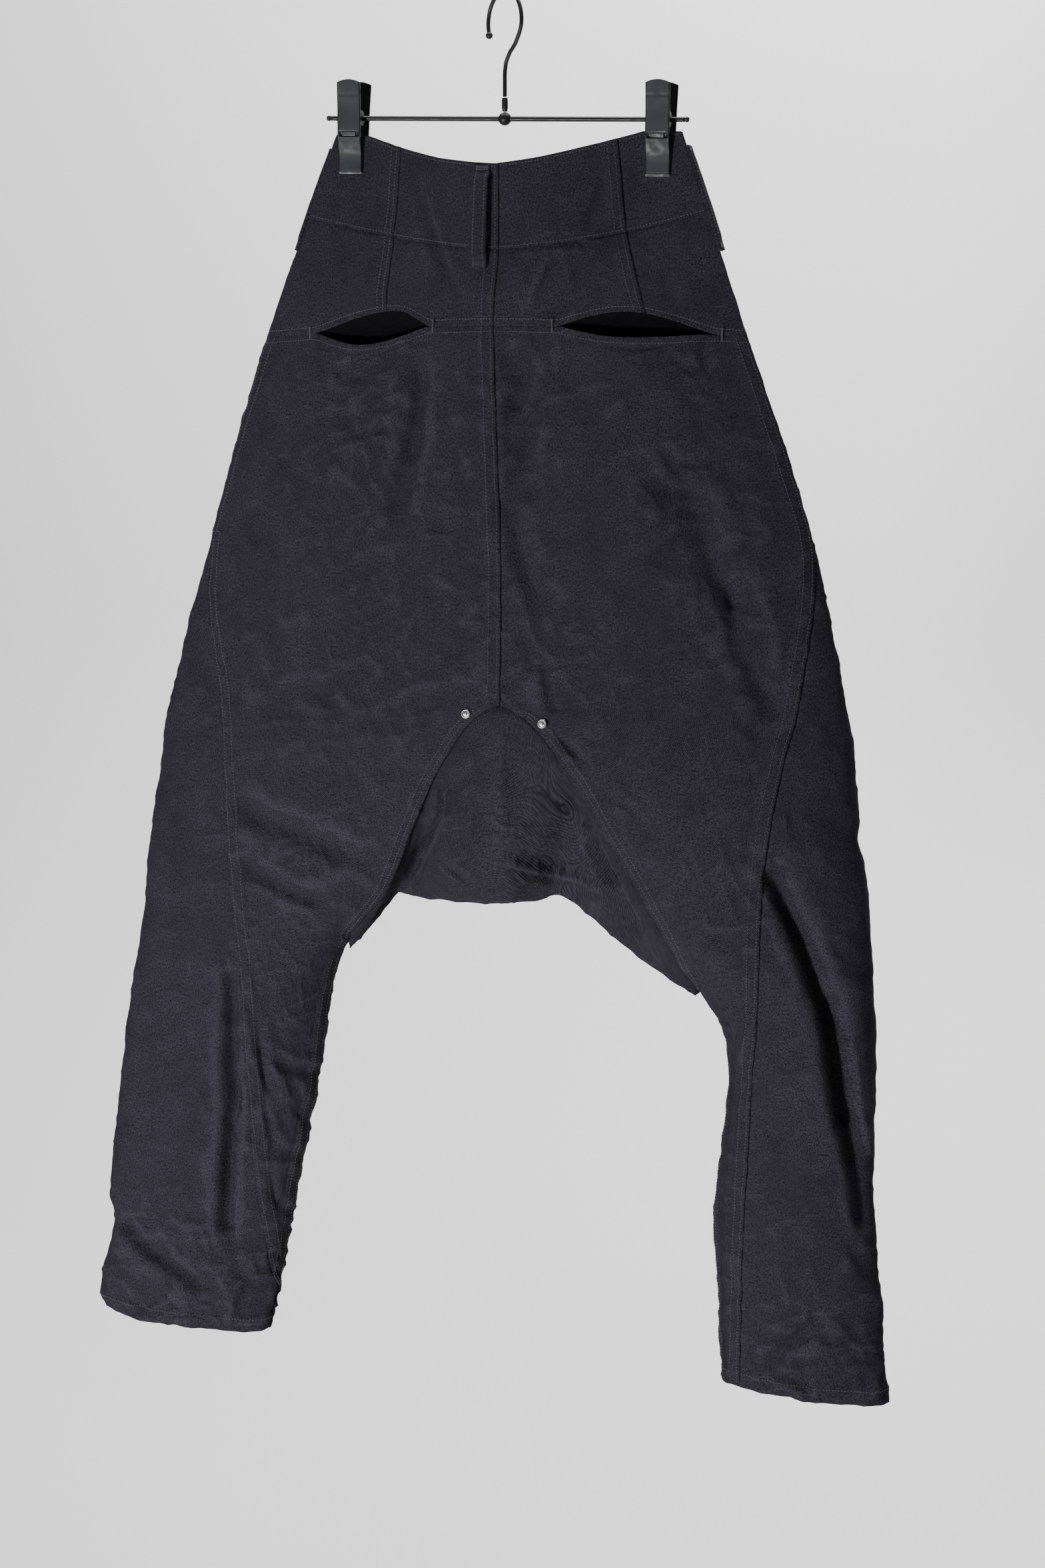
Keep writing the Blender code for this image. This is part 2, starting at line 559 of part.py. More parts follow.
def gusset_column(half, v, q):
    """Points from the back arch (q 0) under the crotch fold to the front arch (q 1), at level v."""
    angle = half.inner_angle(v)
    back, back_normal = half.sheet(v, angle, BACK)
    front, front_normal = half.sheet(v, 2 * math.pi - angle, FRONT)
    fold = np.array([half.sign * half.read("fold_x", v), 0.0, half.read("fold_z", v)])
    taut = smooth_step((v - ARCH_TOP - 0.5) / 1.1)
    swing = np.cos(math.pi * q) * (1 - taut) + (1 - 2 * q) * taut
    hang = np.sin(math.pi * q) ** 0.8 * (1 - taut) + (1 - np.abs(1 - 2 * q)) * taut
    on_back = (q < 0.5)[:, None]
    top = np.where(on_back, back, front)
    points = top * (1 - hang)[:, None] + fold * hang[:, None]
    points[:, 1] = np.where(q < 0.5, back[1], -front[1]) * swing
    return points, np.where(on_back, back_normal, front_normal)


def grid_normal(points, outwards):
    """Directions square to a grid, on the side that outwards points to."""
    across = np.gradient(points, axis=1)
    down = np.gradient(points, axis=0)
    normal = unit(np.cross(down, across))
    facing = np.sum(normal * outwards, axis=-1, keepdims=True)
    return np.where(facing < 0, -normal, normal)


def build_gusset(collection, q_steps=12):
    q = np.linspace(0, 1, q_steps + 1)
    columns, edges = [], []
    for name in ("left", "right"):
        half = Half(name)
        levels = arch_rows(half)
        for level in (levels[::-1] if name == "left" else levels[1:]):
            points, edge = gusset_column(half, level, q)
            columns.append(points)
            edges.append(edge)
    plain, edge = np.stack(columns, 1), np.stack(edges, 1)
    outwards = edge + np.array([0.0, 0.0, -0.6])
    square = grid_normal(plain, outwards)
    blend = np.clip(np.sin(math.pi * q) * 1.3, 0, 1)[:, None, None]
    normal = unit(edge * (1 - blend) + square * blend)
    hold = np.where(q < 0.5, np.sin(math.pi * q) ** 0.5, 0.0)[:, None]
    points = plain + normal * (fold_height(plain, GUSSET_FOLDS) * hold)[..., None]
    points = trim_edges(points, (SEAM_GAP * 1.6, SEAM_GAP * 1.6, 0, 0))
    thickness = WALL * np.ones(points.shape[:2])
    thickness[:, [0, 1, -2, -1]] = WALL * 0.6
    cloth_wall("crotch_gusset", points, normal, thickness, collection)


def build_pocket_bag(half, collection, columns=9):
    """A folded bag: its inner layer hangs behind the mouth, its outer layer backs the panel."""
    pocket = POCKETS[half.name]
    x = np.linspace(pocket.inner_x + BAG_INSET, pocket.outer_x - BAG_INSET, columns)
    deep = np.sin(np.linspace(0, math.pi, columns)) ** 0.5
    rows = []
    for row in BAG_ROWS:
        v = np.full(columns, row.level)
        points, normal = half.sheet(v, half.angle_at(v, x), BACK)
        if row.lip == "lower":
            points = drop_lower_lip(half, v, points)
            end = row.inside
        else:
            points = lift_upper_lip(half, np.minimum(v, YOKE_SEAM), points)
            end = min(row.inside, BAG_END)
        rows.append(points - normal * (end + (row.inside - end) * deep)[:, None])
    points = np.stack(rows, 0)
    normal = grid_normal(points, points - points.mean(axis=0, keepdims=True))
    cloth_wall("pocket_bag_" + half.name, points, -normal, BAG_WALL, collection, "pocketing")


# --- trims ------------------------------------------------------------------------------------
def build_loop(name, half, face, x, top_z, collection):
    """A belt loop standing off the waistband between its two sewn ends."""
    rows, directions = [], []
    for share, stand in LOOP_ROWS:
        z = top_z - share * LOOP_LENGTH
        row, outwards = [], []
        for across in (x - LOOP_WIDTH / 2, x + LOOP_WIDTH / 2):
            point, out = half.sheet(*half.at(half.sign * across, z, face), face)
            row.append([point[0], point[1], z] + out * (BAND_WALL + stand))
            outwards.append(out)
        rows.append(row)
        directions.append(outwards)
    cloth_wall(name, np.array(rows), np.array(directions), LOOP_WALL, collection)


def build_side_loop(half, collection):
    """A belt loop across the fold of the waist's side."""
    outline = np.linspace(WAIST_TOP, YOKE_SEAM, 201)
    widths = half.read("outer_x", outline)
    heights = half.read("outer_z", outline) + half.lift(outline, widths)
    rows = []
    for share, stand in SIDE_LOOP_ROWS:
        z = LOOP_TOP_Z[half.name] - share * LOOP_LENGTH
        x = half.sign * (np.interp(-z, -heights, widths) - WALL + SIDE_SEWN + stand)
        rows.append([(x, SIDE_LOOP_Y + across * LOOP_WIDTH, z) for across in (-0.5, 0.5)])
    out = np.broadcast_to([float(half.sign), 0.0, 0.0], (len(rows), 2, 3))
    cloth_wall("belt_loop_side_" + half.name, np.array(rows), out, LOOP_WALL, collection)


def build_fly(collection, columns=5):
    """The fly's topstitched facing, raised on the left front beside the front seam."""
    half = Half("left")
    v = np.linspace(FLY_TOP, FLY_FOOT - 0.02, 9)
    curve = np.clip((v - FLY_CURVE) / (FLY_FOOT - FLY_CURVE), 0, 1) ** 2.2
    width = FLY_WIDTH * np.sqrt(np.clip(1 - curve, 0.04, 1))
    near = half.seam_line(v)[0] + FLY_INSET
    x = near[:, None] + np.linspace(0, 1, columns)[None, :] * width[:, None]
    grid_v = np.repeat(v[:, None], columns, 1)
    points, normal = half.sheet(grid_v, 2 * math.pi - half.angle_at(grid_v, x), FRONT)
    cloth_wall("fly_facing", points + normal * (WALL + SEAM_GAP), normal, FLY_WALL, collection)


def turned(name, profile, material_name, collection, steps=20):
    """A solid of revolution about Z, from (radius, height) pairs in metres, top to bottom."""
    mesh = bpy.data.meshes.new(name)
    points = [(radius, 0.0, height) for radius, height in profile]
    mesh.from_pydata(points, [(i, i + 1) for i in range(len(points) - 1)], [])
    obj = add_object(name, mesh, material_name, collection)
    screw = obj.modifiers.new("Turn", "SCREW")
    screw.steps = screw.render_steps = steps
    screw.use_merge_vertices = True
    screw.merge_threshold = 0.00001
    return obj


def point_along(obj, direction, place):
    """Puts a turned solid at a place, with its +Z along a direction."""
    obj.rotation_mode = "QUATERNION"
    obj.rotation_quaternion = Vector((0, 0, 1)).rotation_difference(Vector(direction))
    obj.location = place


def build_fastener(name, half, face, place, lift, shape, material_name, collection):
    """A turned fastener square to the cloth. place is x and z, shape its profile, radius, height."""
    profile, radius, height = shape
    point, out = half.sheet(*half.at(*place, face), face)
    point[2] = place[1]
    steps = [(share * radius * MM, rise * height * MM) for share, rise in profile]
    fastener = turned(name, steps, material_name, collection, steps=12)
    point_along(fastener, out, Vector((point + out * lift) * MM))


def build_fasteners(collection):
    cap = (RIVET_PROFILE, RIVET_RADIUS, RIVET_HEIGHT)
    for name, place in RIVETS.items():
        build_fastener("rivet_" + name, Half(name), BACK, place, WALL + RIVET_LIFT, cap,
                       "rivet metal", collection)
    face = (BUTTON_PROFILE, BUTTON_RADIUS, BUTTON_HEIGHT)
    build_fastener("waist_button", Half("left"), FRONT, (BUTTON_X, BUTTON_Z), BAND_WALL + BUTTON_LIFT,
                   face, "button metal", collection)


# --- hanger -----------------------------------------------------------------------------------
def wire(name, points, radius, material_name, collection):
    """A round wire along a smooth line of points, with closed ends."""
    curve = bpy.data.curves.new(name, "CURVE")
    curve.dimensions = "3D"
    curve.bevel_depth = radius
    curve.bevel_resolution = 2
    curve.use_fill_caps = True
    spline = curve.splines.new("POLY")
    spline.points.add(len(points) - 1)
    for knot, point in zip(spline.points, points):
        knot.co = (*point, 1.0)
    obj = bpy.data.objects.new(name, curve)
    collection.objects.link(obj)
    curve.materials.append(material(material_name))
    return obj


def hook_route():
    """The hook's wire: up the shank, out on a bend, and round the hook to its tip."""
    flat = [(0.0, BAR_Z + BALL_RADIUS + COLLAR_LENGTH + PART_GAP), *SHANK]
    for i in range(HOOK_STEPS + 1):
        angle = HOOK_FROM + (HOOK_TO - HOOK_FROM) * i / HOOK_STEPS
        centre_z = WIRE_RADIUS - HOOK_RADIUS
        flat.append((HOOK_RADIUS * math.cos(angle), centre_z + HOOK_RADIUS * math.sin(angle)))
    turn = Matrix.Rotation(HOOK_TURN, 3, "Z")
    return [turn @ Vector((across, 0.0, up)) for across, up in flat]


def build_hook(collection):
    route = hook_route()
    wire("hook", route, WIRE_RADIUS, "hanger black", collection)
    tip = turned("hook_tip", sphere_profile(HOOK_TIP_RADIUS), "hanger black", collection, steps=8)
    end = (route[-1] - route[-2]).normalized()
    tip.location = route[-1] + end * (HOOK_TIP_RADIUS + PART_GAP)


def sphere_profile(radius, steps=6):
    return [(radius * math.sin(math.pi * i / steps), radius * math.cos(math.pi * i / steps))
            for i in range(steps + 1)]


def build_bar(collection, parent):
    bar = turned("hanger_bar", ((0.0, BAR_HALF_LENGTH), (BAR_RADIUS, BAR_HALF_LENGTH),
                 (BAR_RADIUS, -BAR_HALF_LENGTH), (0.0, -BAR_HALF_LENGTH)), "hanger black", collection, 12)
    bar.parent = parent
    bar.rotation_euler = (0.0, math.pi / 2, 0.0)
    for name, side in (("left", -1), ("right", 1)):
        length, radius = KNOB_LENGTH, KNOB_RADIUS
        profile = ((0.0, length), (radius * 0.7, length), (radius, length * 0.8), (radius, length * 0.25),
                   (radius * 0.7, 0.0), (0.0, 0.0))
        knob = turned("bar_knob_" + name, profile, "hanger black", collection, 12)
        knob.parent = parent
        point_along(knob, (side, 0, 0), (side * (BAR_HALF_LENGTH + PART_GAP), 0.0, 0.0))


def build_swivel(collection, parent):
    """The ball at the middle of the bar, bored for it, and the collar that the shank stands in."""
    tube = BAR_RADIUS + PART_GAP
    profile = []
    reach = math.sqrt(BALL_RADIUS**2 - tube**2)
    for i in range(7):
        height = reach * math.cos(math.pi * i / 6)
        profile.append((math.sqrt(BALL_RADIUS**2 - height**2), height))
    profile += [(tube, profile[-1][1] + 0.00001), (tube, profile[0][1] - 0.00001), profile[0]]
    ball = turned("swivel_ball", profile, "hanger black", collection, 12)
    ball.parent = parent
    ball.rotation_euler = (0.0, math.pi / 2, 0.0)
    top = COLLAR_LENGTH - 2 * PART_GAP
    outline = ((0.0, top), (COLLAR_RADIUS * 0.8, top), (COLLAR_RADIUS, top * 0.7),
               (COLLAR_RADIUS, top * 0.3), (COLLAR_RADIUS * 0.75, 0.0), (0.0, 0.0))
    collar = turned("swivel_collar", outline, "hanger black", collection, 14)
    collar.location = (0.0, 0.0, BAR_Z + BALL_RADIUS + PART_GAP)


def jaw_mesh(name, side, x):
    """A jaw plate: its bowed line swept across its width, with a rounded finger end."""
    across = np.linspace(-1, 1, 5)
    inner = np.empty((len(JAW_LINE), len(across), 3))
    for row, (away, z) in enumerate(JAW_LINE):
        rise = FINGER_RISE * (1 - across**2) if row == 0 else 0.0
        width = x + CLIP_HALF_WIDTH * across
        inner[row] = np.stack(np.broadcast_arrays(width, side * away, z + rise), -1)
    return wall_mesh(name, inner, inner + [0.0, side * CLIP_WALL, 0.0])


def box_mesh(name, size, bevel=0.0):
    builder = bmesh.new()
    bmesh.ops.create_cube(builder, size=1.0)
    bmesh.ops.scale(builder, vec=size, verts=builder.verts)
    if bevel:
        bmesh.ops.bevel(builder, geom=list(builder.edges), offset=bevel, segments=1, affect="EDGES")
    mesh = bpy.data.meshes.new(name)
    builder.to_mesh(mesh)
    builder.free()
    return mesh


def build_clip(name, x, collection, parent):
    """Two jaws that close on the waistband, their pivot tube, the slot insert and the tip."""
    for face, side, colour in (("back_jaw_", FRONT, "hanger black"), ("front_jaw_", BACK, "clip face grey")):
        mesh = jaw_mesh("clip_" + face + name, side, x)
        jaw = add_object("clip_" + face + name, mesh, colour, collection, parent)
        jaw.location = (0.0, 0.0, -BAR_Z)
    bore, half = BAR_RADIUS + PART_GAP, PIVOT_LENGTH / 2
    tube = ((bore, half), (PIVOT_RADIUS, half), (PIVOT_RADIUS, -half), (bore, -half), (bore, half))
    pivot = turned("clip_pivot_" + name, tube, "hanger black", collection, 14)
    pivot.parent = parent
    pivot.rotation_euler = (0.0, math.pi / 2, 0.0)
    pivot.location = (x, 0.0, 0.0)
    slot = add_object("clip_slot_" + name, box_mesh("clip_slot_" + name, SLOT_SIZE, SLOT_BEVEL),
                      "clip silver", collection, parent)
    slot_y = -(SLOT_FACE + CLIP_WALL + PART_GAP + SLOT_SIZE[1] / 2)
    slot.location = (x, slot_y, SLOT_Z - BAR_Z)
    size = (2 * CLIP_HALF_WIDTH, CLIP_WALL, TIP_HEIGHT)
    tip = add_object("clip_tip_" + name, box_mesh("clip_tip_" + name, size, TIP_BEVEL),
                     "clip silver", collection, parent)
    tip_z = CLIP_BOTTOM_Z - PART_GAP - TIP_HEIGHT / 2
    tip.location = (x, -(GRIP_FACE + CLIP_WALL / 2), tip_z - BAR_Z)


def build_hanger(collection):
    tilt = bpy.data.objects.new("bar_tilt", None)
    collection.objects.link(tilt)
    tilt.rotation_euler = (0.0, HANGER_TILT, 0.0)
    tilt.location = (0.0, 0.0, BAR_Z)
    build_hook(collection)
    build_swivel(collection, tilt)
    build_bar(collection, tilt)
    for name, side in (("left", -1), ("right", 1)):
        build_clip(name, side * CLIP_X, collection, tilt)


def build_garment(collection):
    for name in ("left", "right"):
        half = Half(name)
        build_waistband(half, collection)
        build_yoke(half, collection)
        build_back_panel(half, collection)
        build_front_panel(half, collection)
        build_pocket_bag(half, collection)
        build_side_loop(half, collection)
        build_loop("belt_loop_front_" + name, half, FRONT, FRONT_LOOP_X, LOOP_TOP_Z["front"], collection)
    build_gusset(collection)
    build_loop("belt_loop_back", Half("left"), BACK, BACK_LOOP_X, LOOP_TOP_Z["back"], collection)
    build_fly(collection)
    build_fasteners(collection)


def main():
    clear_scene()
    collection = bpy.data.collections.new("harem_pants")
    bpy.context.scene.collection.children.link(collection)
    build_garment(collection)
    build_hanger(collection)


main()
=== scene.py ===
"""Looks of drop-crotch denim trousers on a clip hanger, laid out as a Blender add-on.

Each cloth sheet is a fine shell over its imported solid. It repeats the solid's sections and folds,
then adds seams, hems, creases and stitches. The garment's tables are in millimetres. The hanger's
tables and all the meshes are in metres.
"""

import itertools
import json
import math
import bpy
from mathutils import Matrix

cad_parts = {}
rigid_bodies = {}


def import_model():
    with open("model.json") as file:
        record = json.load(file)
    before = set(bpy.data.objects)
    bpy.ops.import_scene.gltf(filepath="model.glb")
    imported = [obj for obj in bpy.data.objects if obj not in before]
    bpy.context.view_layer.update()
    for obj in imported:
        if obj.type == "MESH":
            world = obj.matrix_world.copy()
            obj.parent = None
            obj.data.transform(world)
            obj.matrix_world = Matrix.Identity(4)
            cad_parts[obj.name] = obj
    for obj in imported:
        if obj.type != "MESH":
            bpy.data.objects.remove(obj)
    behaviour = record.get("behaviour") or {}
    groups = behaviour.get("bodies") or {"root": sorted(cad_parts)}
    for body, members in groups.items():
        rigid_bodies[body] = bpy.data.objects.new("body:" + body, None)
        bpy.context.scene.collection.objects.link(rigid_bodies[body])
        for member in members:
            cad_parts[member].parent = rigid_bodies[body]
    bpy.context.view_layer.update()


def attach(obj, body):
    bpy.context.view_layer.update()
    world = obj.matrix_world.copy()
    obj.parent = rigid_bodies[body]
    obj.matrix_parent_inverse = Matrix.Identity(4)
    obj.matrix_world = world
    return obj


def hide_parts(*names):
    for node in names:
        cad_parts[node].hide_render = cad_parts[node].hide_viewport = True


bl_info = {
    "name": "Harem Pants on a Clip Hanger",
    "version": (1, 0, 0),
    "blender": (4, 5, 0),
    "location": "View3D > Sidebar > Harem Pants",
    "description": "Builds denim harem pants, their seams and stitches, and the clip hanger that holds them",
    "category": "Add Mesh",
}

from collections import namedtuple

import bmesh
import bpy
import numpy as np
from bpy.props import FloatProperty, FloatVectorProperty, PointerProperty
from mathutils import Matrix, Vector

for leftover in list(bpy.data.objects):
    bpy.data.objects.remove(leftover, do_unlink=True)
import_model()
MM = 0.001


def table_of(kind, *lines):
    """A table's rows, all of one kind. A row without a name runs on from the end of the one before."""
    made = []
    for row in lines:
        if not isinstance(row[0], str):
            row = (made[-1].name, made[-1].x1, made[-1].z1, *row)
        made.append(kind(*row))
    return tuple(made)


# --- the garment's sections, as the solids have them -------------------------------------------
WALL, BAND_WALL, SEAM_GAP = 1.5, 2.6, 0.3
# How far the back and the front each stand off their side seam above the thigh, how much lower the
# front's top edge hangs in the middle, and how far out from the middle the clips press the waist flat.
SIDE_SHIFT, FRONT_DROP, CLIP_FLAT_X = 0.2, 12.0, 118.0
BACK, FRONT = -1, 1

# One row for each level down the garment. outer_*: the side outline. seam_*: the panels' inner
# edge. far_x: where the section's ellipse ends on the inner side. depth: half the front-to-back
# depth. pinch: 1 is an ellipse, more is a flatter lens. side_x: the side seam. fold_*: the
# gusset's lower fold. Every x is measured outwards from the middle.
Level = namedtuple("Level", "name outer_x outer_z seam_x seam_z far_x depth pinch side_x fold_x fold_z")
LEFT_LEVELS = table_of(
    Level,
    ("waist top", 149, -114, -3, -141, -152, 26, 2.4, 149, 0, 0),
    ("waistband seam", 175, -178, -5, -208, -175, 34, 2.2, 175, 0, 0),
    ("yoke seam", 213, -279, -4, -270, -208, 44, 1.8, 213, 0, 0),
    ("hip", 249, -388, -11, -383, -244, 54, 1.5, 249, 0, 0),
    ("thigh", 278, -484, -16, -476, -272, 61, 1.3, 263, -37, -760),
    ("arch top", 310, -602, -17, -581, -294, 67, 1.1, 242, 14, -758),
    ("arch shoulder", 316, -646, 30, -623, -120, 65, 1.0, 237, 65, -756),
    ("arch middle", 327, -709, 67, -687, 10, 60, 1.0, 233, 106, -754),
    ("arch low", 334, -769, 99, -747, 80, 52, 1.0, 231, 127, -787),
    ("arch end", 343, -820, 149, -806, 149, 45, 1.0, 229, 145, -808),
    ("knee", 360, -927, 171, -911, 171, 40, 1.0, 226, 162, -842),
    ("calf", 373, -1035, 194, -1020, 194, 35, 1.0, 221, 0, 0),
    ("shin", 370, -1065, 199, -1050, 199, 33, 1.0, 218, 0, 0),
    ("crease", 385, -1120, 211, -1106, 211, 32, 1.0, 214, 0, 0),
    ("hem", 378, -1144, 223, -1152, 223, 30, 1.0, 211, 0, 0),
)
RIGHT_LEVELS = table_of(
    Level,
    ("waist top", 152, -119, 3, -141, -149, 26, 2.4, 152, 0, 0),
    ("waistband seam", 174, -179, 5, -208, -174, 34, 2.2, 174, 0, 0),
    ("yoke seam", 208, -280, 4, -270, -213, 44, 1.8, 208, 0, 0),
    ("hip", 244, -385, 11, -383, -249, 54, 1.5, 244, 0, 0),
    ("thigh", 272, -476, 16, -476, -278, 61, 1.3, 266, -53, -763),
    ("arch top", 294, -582, 17, -581, -310, 67, 1.1, 258, -14, -758),
    ("arch shoulder", 300, -622, 70, -627, -120, 65, 1.0, 250, 25, -753),
    ("arch middle", 306, -680, 98, -674, 10, 60, 1.0, 241, 54, -749),
    ("arch low", 313, -735, 132, -737, 90, 52, 1.0, 235, 114, -793),
    ("arch end", 318, -793, 177, -826, 177, 45, 1.0, 232, 172, -828.5),
    ("knee", 322, -879, 199, -885, 199, 40, 1.0, 226, 212, -856),
    ("calf", 321, -975, 188, -987, 188, 36, 1.0, 220, 0, 0),
    ("shin", 324, -1007, 187, -1018, 187, 34, 1.0, 218, 0, 0),
    ("crease", 328, -1063, 190, -1076, 190, 32, 1.0, 216, 0, 0),
    ("hem", 337, -1162, 195, -1155, 195, 29, 1.0, 215, 0, 0),
)
WAIST_TOP, WAIST_SEAM, YOKE_SEAM, HIP, THIGH, ARCH_TOP = range(6)
ARCH_END, HEM_LEVEL = 9, 14
# Levels beyond both ends of the garment, for a seam that runs the whole of its edge.
FROM_ABOVE, TO_BELOW = -1.0, 15.0
# How far the arch's edge still stands behind the garment's middle where the gusset ends.
GUSSET_END_DEPTH = 3.5

# How far the waist's top edge stands above an even curve, by distance from the middle.
Rise = namedtuple("Rise", "x lift")
WAIST_RISE = {
    "left": (Rise(0, 2.0), Rise(50, 2.3), Rise(85, 5.0), Rise(118, 9.0), Rise(149, 3.0)),
    "right": (Rise(0, 2.2), Rise(37, 4.4), Rise(72, 7.8), Rise(119, 11.7), Rise(152, 4.0)),
}

# Where the princess seam crosses the waist's top, the waistband seam and the yoke seam, as a share
# of the way from the centre seam to the side.
PRINCESS_SHARE = {"left": (0.60, 0.55, 0.44), "right": (0.64, 0.60, 0.61)}

# The slit pockets under the yoke: their two ends, and how far each lip leaves the seam and where.
Pocket = namedtuple("Pocket", "inner_x outer_x lift lift_x sag sag_x gape")
POCKETS = {
    "left": Pocket(50, 163, 15, 84, 13, 110, 8),
    "right": Pocket(56, 186, 15, 116, 7, 108, 8),
}

# Folds that the solids have too: a chain of rows with one name, in real X and Z. depth is outwards.
Fold = namedtuple("Fold", "name x0 z0 x1 z1 half_width depth")
BACK_FOLDS = table_of(
    Fold,
    ("beside the centre seam", 24, -300, 34, -400, 20, -5),
    ("beside the centre seam, lower", 20, -419, 49, -494, 20, -4),
    ("under the left pocket", -64, -306, -66, -360, 20, -6), (-78, -420, 20, -6),
    ("right hip", 160, -405, 204, -490, 32, -6),
    ("right thigh", 206, -490, 238, -578, 22, -5),
    ("left thigh", -211, -680, -110, -720, 20, -6),
    ("left thigh, lower", -216, -729, -155, -756, 14, -4),
    ("right leg", 246, -716, 290, -818, 15, -10), (304, -917, 15, -14), (316, -1002, 11, -8),
    ("left leg", -236, -830, -240, -943, 13, -8), (-250, -1050, 13, -9),
    ("left hem, upper", -352, -1066, -280, -1106, 12, -6),
    ("left hem, lower", -352, -1090, -292, -1130, 11, 4),
    ("right hem", 282, -1090, 244, -1126, 10, -4),
)
FRONT_FOLDS = table_of(
    Fold,
    ("beside the front seam", -70, -345, -84, -440, 22, -5),
    ("beside the front seam, right", 40, -360, 62, -470, 22, -5),
    ("left hip", -150, -360, -205, -480, 30, -4),
    ("right hip", 160, -370, 206, -500, 28, -6),
    ("left knee", -330, -700, -250, -760, 20, -3),
    ("right knee", 300, -690, 230, -742, 20, -7),
    ("left leg", -262, -800, -286, -960, 18, -5),
    ("right leg", 236, -800, 268, -930, 15, -9), (276, -1010, 13, -6),
    ("left hem", -350, -1068, -262, -1104, 13, -3),
    ("right hem", 306, -1076, 232, -1112, 12, -5),
)
FOLDS = {BACK: BACK_FOLDS, FRONT: FRONT_FOLDS}
GUSSET_FOLDS = table_of(
    Fold,
    ("left slit", -16, -640, -42, -672, 13, -8), (-80, -734, 12, -5),
    ("right slit", 84, -655, 104, -722, 16, -8),
    ("middle ridge", 15, -606, 15, -692, 16, 4),
    ("low crease", 18, -700, 76, -727, 13, -4),
)

